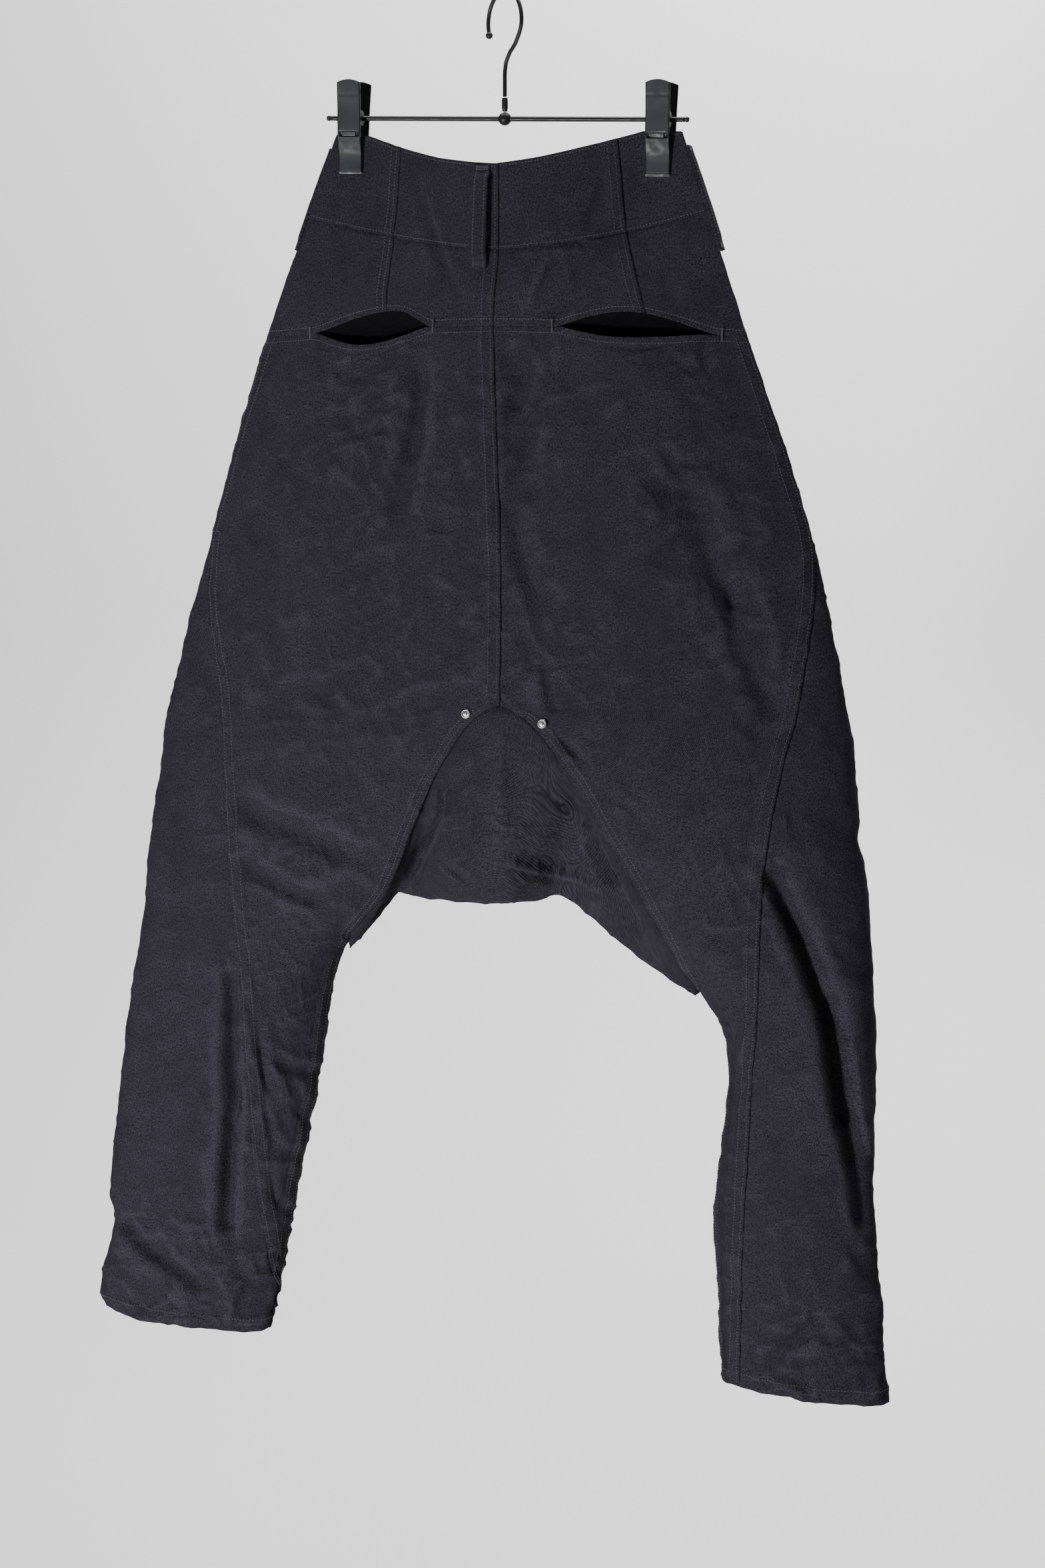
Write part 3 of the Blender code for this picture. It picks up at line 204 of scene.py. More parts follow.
# Creases that only the shells have, in real X and Z. A chain is the rows with one name. west and
# east are a crease's widths on its two sides, which are below and above where it runs level.
Crease = namedtuple("Crease", "name x0 z0 x1 z1 west east depth")
BACK_CREASES = table_of(
    Crease,
    ("waist left", -77, -140, -58, -189, 7, 3, -2.0), (-22, -255, 6, 3, -2.4),
    ("waist right", 88, -153, 76, -191, 3, 6, -2.0),
    ("yoke right", 70, -202, 41, -211, 4, 3, -1.4),
    ("yoke middle", 52, -219, 39, -259, 3, 6, -2.2),
    ("centre upper", 39, -281, 22, -333, 5, 8, -2.6),
    ("centre upper", 43, -330, 31, -385, 4, 7, -2.2),
    ("centre low", 20, -419, 49, -494, 8, 4, -2.6),
    ("crotch right", 35, -518, 47, -549, 5, 4, -2.0),
    ("crotch right two", 57, -545, 62, -580, 5, 2, -3.0), (69, -592, 4, 2, -2.4),
    ("crotch right low", 68, -602, 90, -626, 3, 2, -2.2),
    ("crotch right side", 104, -650, 130, -663, 3, 3, -1.6), (137, -676, 3, 3, -1.4),
    ("left back", -68, -276, -60, -321, 4, 7, -2.6), (-70, -380, 4, 8, -3.0), (-78, -415, 4, 7, -1.8),
    ("left of centre", -36, -327, -24, -379, 5, 3, -1.4), (-9, -423, 5, 3, -1.4),
    ("under left pocket", -157, -296, -143, -322, 4, 4, -1.6),
    ("under left pocket two", -154, -296, -100, -313, 4, 3, -1.4),
    ("left hip one", -147, -345, -94, -371, 4, 5, -1.6),
    ("left hip two", -150, -362, -122, -392, 5, 4, -1.6), (-100, -389, 4, 4, -1.2),
    ("right pocket one", 173, -282, 177, -305, 3, 4, -1.6), (171, -321, 3, 4, -1.2),
    ("right pocket two", 95, -280, 146, -285, 3, 3, -1.0), (169, -293, 3, 3, -1.0),
    ("right hip one", 144, -369, 156, -385, 4, 4, -1.8), (188, -377, 5, 3, -1.8),
    ("right hip ridge", 159, -389, 197, -406, 6, 5, 1.6),
    ("right hip band", 165, -406, 204, -491, 6, 10, -1.8),
    ("right side one", 174, -464, 204, -484, 4, 5, -1.8), (209, -530, 4, 5, -1.8),
    (239, -578, 4, 5, -1.6),
    ("right side two", 210, -588, 239, -604, 4, 4, -1.6),
    ("right side three", 208, -634, 234, -636, 4, 4, -1.6),
    ("above the left rivet", -68, -515, -13, -548, 5, 4, -1.4),
    ("left seat", -163, -567, -113, -598, 5, 4, -1.4),
    ("left thigh one", -211, -680, -154, -695, 6, 8, -1.8), (-110, -720, 6, 8, -1.6),
    ("left thigh two", -216, -729, -155, -756, 5, 5, -1.8),
    ("left knee", -138, -765, -146, -808, 5, 4, -1.8),
    ("right thigh cross", 220, -727, 180, -753, 4, 5, -1.8),
    ("right thigh ridge", 233, -830, 211, -878, 5, 4, 1.8),
    ("right leg flap", 241, -713, 255, -727, 4, 1.4, -3.0), (281, -795, 9, 1.3, -5.5),
    (305, -857, 14, 1.3, -7.0), (312, -920, 15, 1.3, -7.0), (316, -950, 13, 1.6, -6.0),
    (328, -992, 10, 2.4, -4.0),
    ("right leg tuck", 243, -701, 256, -709, 2.5, 2.5, -1.8),
    ("right leg dimple", 283, -784, 314, -799, 3, 3.5, -1.2),
    ("right calf one", 248, -870, 262, -872, 2.5, 3, -0.9),
    ("right calf two", 231, -930, 243, -930, 2, 3, -0.9),
    ("right knee back", 184, -746, 207, -726, 3, 5, -1.6),
    ("right knee inner", 205, -838, 208, -886, 3, 4, -1.4),
    ("right dimple one", 255, -661, 263, -679, 3, 4, -1.6),
    ("right dimple two", 291, -771, 309, -789, 4, 4, -2.0),
    ("right dimple three", 305, -1020, 325, -1055, 5, 4, -2.0),
    ("right hem one", 226, -1113, 223, -1134, 3, 4, -1.6),
    ("right hem two", 239, -1129, 254, -1139, 4, 3, -2.8), (274, -1143, 4, 3, -2.6),
    ("right hem three", 244, -1123, 282, -1090, 4, 4, -1.8),
    ("right hem four", 284, -1138, 309, -1121, 4, 3, -1.8), (326, -1125, 3, 3, -1.4),
    ("left leg flap", -234, -835, -237, -885, 5, 1.5, -2.6), (-238, -908, 7, 1.3, -4.0),
    (-233, -941, 8, 1.3, -4.5), (-239, -959, 8, 1.3, -4.5), (-244, -992, 7, 1.3, -5.0),
    (-244, -1046, 8, 1.3, -5.5), (-242, -1085, 9, 1.5, -5.0), (-230, -1105, 9, 2, -3.6),
    ("left ankle fold", -230, -1106, -240, -1127, 7, 2, -3.0),
    ("beside the left seam", -216, -870, -210, -930, 2, 4, -2.2),
    ("beside the left seam two", -211, -935, -207, -980, 2.5, 3, -1.6), (-190, -986, 3, 2, -1.6),
    ("beside the left seam three", -212, -1000, -206, -1034, 2, 3, -1.4), (-196, -1046, 3, 2, -1.4),
    ("left inner shade", -205, -905, -163, -915, 7, 4, -2.2),
    ("left ankle low", -244, -1120, -239, -1136, 3, 3, -1.6), (-217, -1135, 3, 3, -1.6),
    ("left calf one", -222, -799, -217, -836, 5, 4, -1.8),
    ("left calf two", -221, -866, -213, -913, 3, 5, -2.8), (-202, -941, 3, 5, -2.4),
    ("left calf three", -213, -893, -169, -919, 4, 4, -1.8),
    ("left calf four", -210, -984, -185, -993, 4, 3, -1.6),
    ("left calf five", -214, -999, -209, -1034, 3, 4, -1.6), (-198, -1046, 3, 4, -1.4),
    ("left hem one", -358, -1062, -315, -1090, 5, 3, -3.0), (-275, -1108, 5, 3, -2.4),
    ("left hem two", -358, -1083, -309, -1119, 4, 3, -2.4), (-297, -1132, 4, 3, -2.2),
    (-260, -1139, 3, 3, -1.8),
    ("left hem three", -353, -1121, -333, -1137, 3, 3, -1.8), (-298, -1141, 3, 3, -1.4),
)
FRONT_CREASES = table_of(
    Crease,
    ("fly side", -70, -300, -58, -360, 4, 6, -1.8), (-84, -440, 4, 7, -2.0),
    ("front middle", 24, -300, 44, -362, 6, 4, -1.8), (62, -470, 6, 4, -2.2),
    ("front left hip", -150, -330, -176, -410, 5, 6, -1.8), (-205, -480, 5, 6, -2.0),
    ("front left pull", -110, -420, -60, -520, 5, 5, -1.6),
    ("front right hip", 160, -340, 206, -500, 6, 5, -2.0),
    ("front right pull", 96, -430, 58, -530, 5, 5, -1.6),
    ("front crotch left", -90, -560, -30, -585, 5, 4, -1.6),
    ("front crotch right", 100, -548, 60, -590, 5, 4, -1.6),
    ("front left thigh", -330, -680, -270, -730, 6, 5, -2.0), (-220, -752, 6, 5, -2.0),
    ("front left thigh two", -240, -640, -170, -690, 5, 5, -1.8),
    ("front right thigh", 300, -670, 250, -720, 6, 5, -2.2), (210, -748, 5, 5, -2.0),
    ("front left shin", -262, -800, -272, -900, 8, 4, -2.6), (-290, -1000, 8, 4, -2.4),
    ("front left cross", -330, -880, -290, -905, 5, 4, -1.8),
    ("front left cross two", -345, -960, -300, -990, 4, 4, -1.6),
    ("front right shin", 240, -800, 262, -900, 4, 9, -2.8), (276, -1010, 4, 8, -2.4),
    ("front right cross", 300, -860, 262, -892, 4, 4, -1.8),
    ("front right cross two", 306, -1000, 250, -1030, 5, 4, -1.8),
    ("front left hem", -352, -1060, -262, -1104, 5, 4, -2.4),
    ("front left hem two", -340, -1100, -250, -1132, 4, 3, -1.8),
    ("front right hem", 306, -1070, 232, -1112, 5, 4, -2.2),
    ("front right hem two", 318, -1120, 262, -1140, 4, 3, -1.8),
)
GUSSET_CREASES = table_of(
    Crease,
    ("slit left", -24, -640, -36, -656, 4, 1.2, -7.0), (-38, -675, 5, 1.2, -9.0),
    (-51, -695, 6, 1.2, -10.0), (-70, -717, 6, 1.3, -10.0), (-90, -747, 5, 1.6, -8.0),
    ("slit branch", -27, -650, -31, -664, 2, 1.5, -2.6),
    ("middle ridge", 18, -592, 17, -684, 8, 6, 2.6),
    ("cross light", 7, -713, 39, -723, 2, 3, 2.0), (91, -739, 2, 3, 2.0),
    ("below the light", 10, -719, 88, -745, 5, 3, -2.4),
    ("low dark", -46, -714, -28, -730, 2, 4, -3.2), (-20, -736, 2, 4, -2.4),
    ("low dark two", -26, -720, -3, -711, 4, 2, -2.4),
    ("wedge right", 86, -654, 89, -679, 3, 1.6, -3.5), (94, -699, 7, 1.4, -7.5),
    (103, -719, 10, 1.4, -9.0), (121, -758, 12, 1.6, -9.0),
    ("wedge flap", 103, -718, 105, -728, 2, 3, 1.8),
    ("upper left", 2, -597, 12, -612, 2, 3, -1.4),
    ("upper right", 37, -597, 42, -608, 2, 2, -1.6),
    ("upper right two", 70, -646, 76, -660, 2, 3, -1.8), (84, -671, 2, 3, -1.8),
    ("across the middle", -6, -676, 22, -690, 4, 3, -1.2),
    ("low left", -30, -700, -8, -694, 3, 4, -1.4),
)

# Where the cloth is busiest with small creases, in real X and Z, how far that reaches, and how much.
Patch = namedtuple("Patch", "name x z reach amount")
CALM = 0.62
PATCHES = table_of(
    Patch,
    ("waist, left", -55, -165, 50, 0.6),
    ("waist, right", 75, -185, 45, 0.9),
    ("yoke, right", 50, -235, 40, 1.0),
    ("yoke, far right", 150, -235, 40, 0.7),
    ("under the left pocket", -78, -345, 50, 1.5),
    ("under the left pocket's end", -140, -305, 34, 1.2),
    ("right of the centre seam", 42, -335, 48, 1.5),
    ("left hip", -130, -385, 60, 1.1),
    ("right hip", 178, -400, 60, 1.3),
    ("under the right pocket", 165, -300, 30, 1.0),
    ("right side", 212, -510, 60, 1.0),
    ("left of the centre seam", -50, -480, 70, 0.8),
    ("left side", -215, -560, 60, 0.6),
    ("crotch, right", 60, -560, 55, 1.3),
    ("crotch, left", -70, -560, 60, 0.8),
    ("left seat", -130, -610, 60, 0.8),
    ("left thigh", -165, -730, 60, 1.2),
    ("right thigh", 215, -740, 55, 1.1),
    ("gusset", 30, -690, 70, 0.9),
    ("left knee", -200, -840, 50, 1.1),
    ("left calf", -200, -940, 45, 1.4),
    ("left ankle", -300, -1110, 65, 2.2),
    ("left shin", -225, -1080, 45, 1.3),
    ("right shin", 230, -1010, 60, 0.5),
    ("right ankle", 275, -1130, 60, 1.7),
)


# --- small helpers ------------------------------------------------------------------------------
def unit(vectors):
    return vectors / np.maximum(np.linalg.norm(vectors, axis=-1, keepdims=True), 1e-9)


def smooth_step(value):
    t = np.clip(value, 0.0, 1.0)
    return t * t * (3 - 2 * t)


def soft_noise(points, lump, seed):
    """Smooth noise from -1 to 1 at points in millimetres, in lumps of one size or one per axis."""
    cell = np.asarray(points) / np.asarray(lump, float) + 17.13 * seed
    base = np.floor(cell)
    t = smooth_step(cell - base)
    total = np.zeros(cell.shape[:-1])
    for corner in itertools.product((0, 1), repeat=3):
        spin = np.sin((base + corner) @ (127.1, 311.7, 74.7)) * 43758.5453
        weight = np.prod(np.where(corner, t, 1 - t), axis=-1)
        total += weight * (2 * (spin - np.floor(spin)) - 1)
    return total


def fold_height(points, folds):
    """How far the solids' folds move points outwards."""
    height = np.zeros(points.shape[:-1])
    for name in dict.fromkeys(fold.name for fold in folds):
        chain = np.zeros_like(height)
        for fold in (row for row in folds if row.name == name):
            start = np.array([fold.x0, fold.z0], float)
            run = np.array([fold.x1, fold.z1], float) - start
            rel = points[..., [0, 2]] - start
            along = np.clip(rel @ run / (run @ run), 0, 1)
            away = np.linalg.norm(rel - along[..., None] * run, axis=-1) / fold.half_width
            bump = fold.depth * np.cos(np.clip(away, 0, 1) * math.pi / 2) ** 2
            chain = np.where(np.abs(bump) > np.abs(chain), bump, chain)
        height += chain
    return height


# How a crease wanders, and the low rims that stand beside it, as shares of its width and depth.
WANDER_LUMP, WANDER = 26, 2.2
RIM_AWAY, RIM_WIDTH, RIM_SHARE = 2.1, 1.2, 0.35


def crease_height(points, creases):
    """How far the shells' own creases move points outwards. Each wanders and thins at its ends."""
    height = np.zeros(points.shape[:-1])
    wander = soft_noise(points, WANDER_LUMP, 3) * WANDER
    plane = points[..., [0, 2]]
    for name in dict.fromkeys(crease.name for crease in creases):
        rows = [row for row in creases if row.name == name]
        lengths = [math.hypot(row.x1 - row.x0, row.z1 - row.z0) for row in rows]
        whole, done = sum(lengths), 0.0
        chain = np.zeros_like(height)
        for row, length in zip(rows, lengths):
            start = np.array([row.x0, row.z0], float)
            run = (np.array([row.x1, row.z1], float) - start) / length
            rel = plane - start
            along = rel @ run
            past = np.maximum(0, np.maximum(-along, along - length))
            side = rel @ np.array([-run[1], run[0]]) + wander
            width = np.where(side < 0, row.west, row.east)
            share = np.clip((done + along) / whole, 0, 1)
            taper = np.clip(np.sin(math.pi * (0.06 + 0.88 * share)), 0, 1) ** 0.7
            bump = row.depth * taper * np.exp(-(side**2 + past**2 * 1.5) / width**2)
            rim = (np.abs(side) - RIM_AWAY * width) ** 2 + past**2
            bump -= RIM_SHARE * row.depth * taper * np.exp(-rim / (RIM_WIDTH * width) ** 2)
            chain = np.where(np.abs(bump) > np.abs(chain), bump, chain)
            done += length
        height += chain
    return height


def busyness(points):
    """How much small creasing the cloth has at each point."""
    total = np.full(points.shape[:-1], CALM)
    for patch in PATCHES:
        away = (points[..., 0] - patch.x) ** 2 + (points[..., 2] - patch.z) ** 2
        total += patch.amount * np.exp(-away / patch.reach**2)
    return total


# Broad waves and small creases: their size along x, y and z, how high they stand, and a number to
# vary them by.
Ripple = namedtuple("Ripple", "lump rise seed")
WAVES = (Ripple((34, 34, 46), 1.0, 1), Ripple((15, 15, 19), 0.45, 5))
RIPPLES = (Ripple((46, 30, 12), 1.3, 14), Ripple((14, 20, 38), 0.9, 15), Ripple((20, 14, 8), 0.6, 16))
BEND_LUMP, BEND_SEEDS, BEND = 38, (11, 12, 13), 10
SKEW_EAST, SKEW_UP = 0.45, 0.3
CREST_WIDTH, CREST_SHARPNESS, CREST_SINK = 0.42, 1.5, 0.3


def waves(points, ripples):
    """The sum of some ripples' smooth noise at points."""
    return sum(soft_noise(points, ripple.lump, ripple.seed) * ripple.rise for ripple in ripples)


def crinkle(points):
    """Thin creases that wander over the cloth, with a sharp crest and softer sides."""
    bend = np.stack([soft_noise(points, BEND_LUMP, seed) for seed in BEND_SEEDS], -1) * BEND
    east, back, up = np.moveaxis(points + bend, -1, 0)
    slant = np.stack([east + SKEW_EAST * up, back, up - SKEW_UP * east], -1)
    total = np.zeros(points.shape[:-1])
    for ripple in RIPPLES:
        crest = 1 - np.minimum(np.abs(soft_noise(slant, ripple.lump, ripple.seed)) / CREST_WIDTH, 1)
        total += ripple.rise * (crest**CREST_SHARPNESS - CREST_SINK)
    return total


def crumple(points):
    """The uneven waves of washed denim, and its small creases where it is busiest."""
    return waves(points, WAVES) + busyness(points) * crinkle(points)


# --- the cloth's surface ------------------------------------------------------------------------
def read_column(levels, column, v):
    """A column of the table at level v, on a smooth curve through its rows."""
    values = np.array([getattr(level, column) for level in levels], float)
    slopes = np.gradient(values)
    i = np.clip(np.floor(v).astype(int), 0, len(levels) - 2)
    t = v - i
    a, b, m, n = values[i], values[i + 1], slopes[i], slopes[i + 1]
    return ((2 * t**3 - 3 * t**2 + 1) * a + (t**3 - 2 * t**2 + t) * m
            + (3 * t**2 - 2 * t**3) * b + (t**3 - t**2) * n)


# The clips' hold on the section lasts down to one level and fades over the next ones. SLIT_FADE is
# for the small gap at the side seam.
FLAT_UNTIL, FLAT_FADE, SLIT_FADE = 0.55, 1.4, 0.5
SIDE_SEAM_FROM = THIGH - 0.4
CURVE_OF_LEVEL = 1.5


class Half:
    """One half of the garment, left or right, as points of its sections."""

    def __init__(self, name):
        self.name = name
        self.sign = -1 if name == "left" else 1
        self.levels = LEFT_LEVELS if name == "left" else RIGHT_LEVELS

    def read(self, column, v):
        return read_column(self.levels, column, np.asarray(v, float))

    def seam_line(self, v):
        """x and z of the panels' inner edge. The arch leaves its top flat and round."""
        v = np.asarray(v, float)
        x, z = self.read("seam_x", v), self.read("seam_z", v)
        top, shoulder = self.levels[ARCH_TOP], self.levels[ARCH_TOP + 1]
        t = np.clip(v - ARCH_TOP, 0, 1)
        on_top = (v >= ARCH_TOP) & (v <= ARCH_TOP + 1)
        x = np.where(on_top, top.seam_x + (shoulder.seam_x - top.seam_x) * t**0.8, x)
        z = np.where(on_top, top.seam_z + (shoulder.seam_z - top.seam_z) * t**1.5, z)
        above = (v > THIGH) & (v < ARCH_TOP)
        t = np.clip(v - THIGH, 0, 1)
        thigh = self.levels[THIGH]
        x = np.where(above, thigh.seam_x + (top.seam_x - thigh.seam_x) * t, x)
        z = np.where(above, thigh.seam_z + (top.seam_z - thigh.seam_z) * t, z)
        return x, z

    def ellipse(self, v):
        outer, far = self.read("outer_x", v), self.read("far_x", v)
        return (outer + far) / 2, (outer - far) / 2 - WALL, self.read("depth", v) - WALL

    def angle_at(self, v, x):
        """The angle on the back, 0 at the inner end and pi at the side, at outward distance x."""
        centre, half, _ = self.ellipse(v)
        return np.arccos(np.clip((centre - x) / half, -1, 1))

    def face_angle(self, v, x, face):
        """The angle at outward distance x on the back or the front."""
        angle = self.angle_at(v, x)
        return angle if face == BACK else 2 * math.pi - angle

    def inner_angle(self, v):
        x, _ = self.seam_line(v)
        return np.where(np.asarray(v) >= ARCH_END, 0.0, self.angle_at(v, x))

    def front_inner_angle(self, v):
        return 2 * math.pi - self.inner_angle(v)

    def side_angle(self, v):
        return np.where(np.asarray(v) <= SIDE_SEAM_FROM, math.pi,
                        self.angle_at(v, self.read("side_x", v)))

    def princess_angle(self, v):
        shares = PRINCESS_SHARE[self.name]
        share = np.interp(v, (WAIST_TOP, WAIST_SEAM, YOKE_SEAM), shares)
        seam_x, _ = self.seam_line(v)
        return self.angle_at(v, seam_x + share * (self.read("outer_x", v) - seam_x))

    def lift(self, v, x):
        """How far the waist's shaped top edge raises a point at outward distance x."""
        return np.interp(x, *zip(*WAIST_RISE[self.name])) * np.clip(1 - v, 0, 1)

    def plain(self, v, angle, face):
        """Points and outward directions of the sheet's inside, before its folds."""
        v, angle = np.broadcast_arrays(np.asarray(v, float), np.asarray(angle, float))
        centre, half, depth = self.ellipse(v)
        power = self.read("pinch", v)
        sine = np.abs(np.sin(angle))
        x = centre - half * np.cos(angle)
        flat = 1 - smooth_step((v - FLAT_UNTIL) / FLAT_FADE)
        at_clips = np.clip(1 - (x / CLIP_FLAT_X) ** 2, 0, 1) ** 1.5
        bulge = sine**power * (1 - flat) + at_clips * flat
        slit = SIDE_SHIFT * np.clip((THIGH - v) / SLIT_FADE, 0, 1)
        turn = np.where(np.sin(angle) >= 0, BACK, FRONT)
        turn = np.where(np.abs(np.sin(angle)) < 1e-6, face, turn)
        y = turn * (depth * bulge + slit)
        seam_x, seam_z = self.seam_line(v)
        drop = FRONT_DROP * np.clip(1 - v / HIP, 0, 1) if face == FRONT else 0.0
        outer_x, outer_z = self.read("outer_x", v), self.read("outer_z", v)
        share = np.clip((x - seam_x) / (outer_x - seam_x), 0, 1) ** CURVE_OF_LEVEL
        z = (seam_z - drop) * (1 - share) + outer_z * share + self.lift(v, x)
        slope = depth * power * np.maximum(sine, 1e-4) ** (power - 1) * np.cos(angle) * (1 - flat)
        normal = unit(np.stack([-slope, turn * half * np.maximum(sine, 1e-3), 0 * x], -1))
        points = np.stack([self.sign * x, y, z], -1)
        normal[..., 0] *= self.sign
        return points, normal

    def relief(self, points, angle, face):
        """Folds and creases: how far the cloth stands out from its plain sections."""
        height = fold_height(points, BACK_FOLDS) + crease_height(points, BACK_CREASES)
        if face == FRONT:
            front = fold_height(points, FRONT_FOLDS) + crease_height(points, FRONT_CREASES)
            turn = smooth_step(0.5 - np.sin(angle) / 0.5)
            height = height * (1 - turn) + front * turn
        return height


HALVES = {name: Half(name) for name in ("left", "right")}


# --- grids over the surface ---------------------------------------------------------------------
# Lines near an edge, in millimetres from it, where a felled seam or a hem needs its own.
EDGE_MARKS = (0.15, 1.0, 2.4, 4.4, 6.4, 8.4, 10.2, 11.4, 12.6, 14.0)
EDGE_REACH = 16.0
SPACING = 3.8
DENSE_LEVELS, DENSE_ACROSS = 900, 240


def spread_marks(length, count, first, last):
    """Distances along a line: close ones beside the ends that have a seam, even ones between."""
    marks = np.array(EDGE_MARKS) * min(1.0, length / (2 * EDGE_REACH + 8.0))
    start = marks if first else marks[:1]
    end = length - (marks if last else marks[:1])[::-1]
    return np.concatenate([start, np.linspace(start[-1], end[0], count + 2)[1:-1], end])


def run_lengths(points, axis):
    """Running length along one axis of a grid, starting at zero."""
    steps = np.linalg.norm(np.diff(points, axis=axis), axis=-1)
    zero = np.zeros_like(np.take(steps, [0], axis=axis))
    return np.concatenate([zero, np.cumsum(steps, axis=axis)], axis=axis)


class Grid:
    """Points over one sheet between two levels and two edge angles, and how far each is from them."""

    def __init__(self, half, face, levels, edges, seams=(True, True, True, True)):
        self.half, self.face = half, face
        top, bottom, start, end = seams
        dense = np.linspace(*levels, DENSE_LEVELS)
        first, last = (edge(dense) for edge in edges)
        run = run_lengths(half.plain(dense, (first + last) / 2, face)[0], 0)
        v = np.interp(spread_marks(run[-1], int(run[-1] / SPACING), top, bottom), run, dense)
        share = np.linspace(0, 1, DENSE_ACROSS)[None, :]
        angle = edges[0](v)[:, None] * (1 - share) + edges[1](v)[:, None] * share
        across = run_lengths(half.plain(v[:, None], angle, face)[0], 1)
        count = int(across[:, -1].max() / SPACING)
        self.from_start = np.array([spread_marks(row[-1], count, start, end) for row in across])
        self.from_end = across[:, -1:] - self.from_start
        self.angle = np.array([np.interp(*row) for row in zip(self.from_start, across, angle)])
        self.v = np.broadcast_to(v[:, None], self.angle.shape)
        self.plain, self.normal = half.plain(self.v, self.angle, face)
        down = run_lengths(self.plain, 0)
        self.from_top = down + EDGE_MARKS[0]
        self.from_bottom = down[-1] - down + EDGE_MARKS[0]

    def distance(self, edge):
        return getattr(self, "from_" + edge)

    def along(self, edge):
        return self.from_top if edge in ("start", "end") else self.from_start


# A felled seam on one edge of a sheet: its strip's width and height, and the levels it runs between.
Seam = namedtuple("Seam", "edge width height first last")
FELL_WIDTH, FELL_HEIGHT = 11.5, 0.75
HEM_WIDTH, HEM_HEIGHT = 13.0, 1.15
SEAM_FADE, STRIP_FADE, RIPPLE_FADE = 0.05, 2.4, 9.0
# How strong the crumples are at each level: the waistband is stiffer than the legs.
SHARE_OF_CRUMPLE = ((0.0, 0.35), (1.0, 0.5), (1.3, 0.8), (2.2, 1.0), (14.0, 1.15))


def seam_relief(grid, seams):
    """The strips of folded cloth along a sheet's seams, and the ripples that stitching draws."""
    strips, ripples = np.zeros(grid.v.shape), np.zeros(grid.v.shape)
    for number, seam in enumerate(seams):
        distance, along = grid.distance(seam.edge), grid.along(seam.edge)
        on = smooth_step((grid.v - seam.first) / SEAM_FADE + 1)
        on = on * smooth_step((seam.last - grid.v) / SEAM_FADE + 1)
        strip = seam.height * (1 - smooth_step((distance - seam.width) / STRIP_FADE)) * on
        strips = np.maximum(strips, strip)
        place = np.stack([along + 0.6 * distance, 0 * along, 0 * along], -1)
        wave = soft_noise(place, 8.0, number + 2) * 0.5 + soft_noise(place, 3.7, number + 7) * 0.2
        ripples += wave * on * (1 - smooth_step((distance - 0.7 * seam.width) / RIPPLE_FADE))
    return strips + ripples


def blur(values, times):
    for _ in range(times):
        wide = np.pad(values, 1, mode="edge")
        values = (wide[:-2, 1:-1] + wide[2:, 1:-1] + wide[1:-1, :-2] + wide[1:-1, 2:]) / 4
    return values


WEAR_BASE, WEAR_GAIN, WEAR_REACH = 0.28, 0.55, 14


def wear_of(height):
    """How much each point stands proud of the cloth round it, from 0 to 1."""
    return np.clip(WEAR_BASE + (height - blur(height, WEAR_REACH)) * WEAR_GAIN, 0, 1)


# Which of a sheet's edges close over (1) or under (-1) a neighbour's, and between which levels.
Lap = namedtuple("Lap", "edge side first last")
LAP_OUT, TUCK_OUT, TUCK_DOWN = 0.75, 0.75, 0.65
EDGE_LINES = {"start": np.s_[:, 0], "end": np.s_[:, -1], "top": np.s_[0], "bottom": np.s_[-1]}
NEXT_LINES = {"start": np.s_[:, 1], "end": np.s_[:, -2], "top": np.s_[1], "bottom": np.s_[-2]}


def close_edges(grid, points, laps):
    """Moves each sheet's edge over or under the next one's, so that no light shows at a seam."""
    for lap in laps:
        edge, inner = EDGE_LINES[lap.edge], NEXT_LINES[lap.edge]
        on = ((grid.v[edge] >= lap.first) & (grid.v[edge] <= lap.last))[:, None]
        out = unit(points[edge] - points[inner])
        if lap.side > 0:
            points[edge] += on * out * LAP_OUT
        else:
            points[edge] += on * (out * TUCK_OUT - grid.normal[edge] * TUCK_DOWN)
            points[inner] -= on * grid.normal[inner] * TUCK_DOWN * 0.5
    return points


def over(edge, first=FROM_ABOVE, last=TO_BELOW):
    return Lap(edge, 1, first, last)


def under(edge, first=FROM_ABOVE, last=TO_BELOW):
    return Lap(edge, -1, first, last)


def level_crumple(points, v):
    """The crumples at points, as strong as their levels and the slider allow."""
    return crumple(points) * (np.interp(v, *zip(*SHARE_OF_CRUMPLE)) * settings().cloth.crumple)


class Cloth:
    """The finished outer side of one sheet."""

    def __init__(self, grid, wall, seams, laps, move=None):
        relief = grid.half.relief(grid.plain, grid.angle, grid.face)
        height = relief + seam_relief(grid, seams) + level_crumple(grid.plain, grid.v)
        points = grid.plain + grid.normal * (wall + height)[..., None]
        if move:
            points = move(grid.half, grid.v, points)
        points = close_edges(grid, points, laps)
        self.grid, self.points = grid, points
        self.normal = grid_normal(points, grid.normal)
        self.wear = wear_of(height)


def grid_normal(points, outwards):
    """Directions square to a grid, on the side that outwards points to."""
    normal = unit(np.cross(np.gradient(points, axis=0), np.gradient(points, axis=1)))
    facing = np.sum(normal * outwards, axis=-1, keepdims=True)
    return np.where(facing < 0, -normal, normal)


# --- meshes and objects -------------------------------------------------------------------------
def settings():
    return bpy.context.scene.harem_pants


def link(name, data):
    obj = bpy.data.objects.new(name, data)
    bpy.context.scene.collection.objects.link(obj)
    return obj


def make_mesh(name, points, faces, material_name):
    """A smooth mesh from points in metres."""
    mesh = bpy.data.meshes.new(name)
    mesh.from_pydata(points.reshape(-1, 3).tolist(), [], faces)
    mesh.materials.append(material(material_name))
    mesh.shade_smooth()
    return mesh


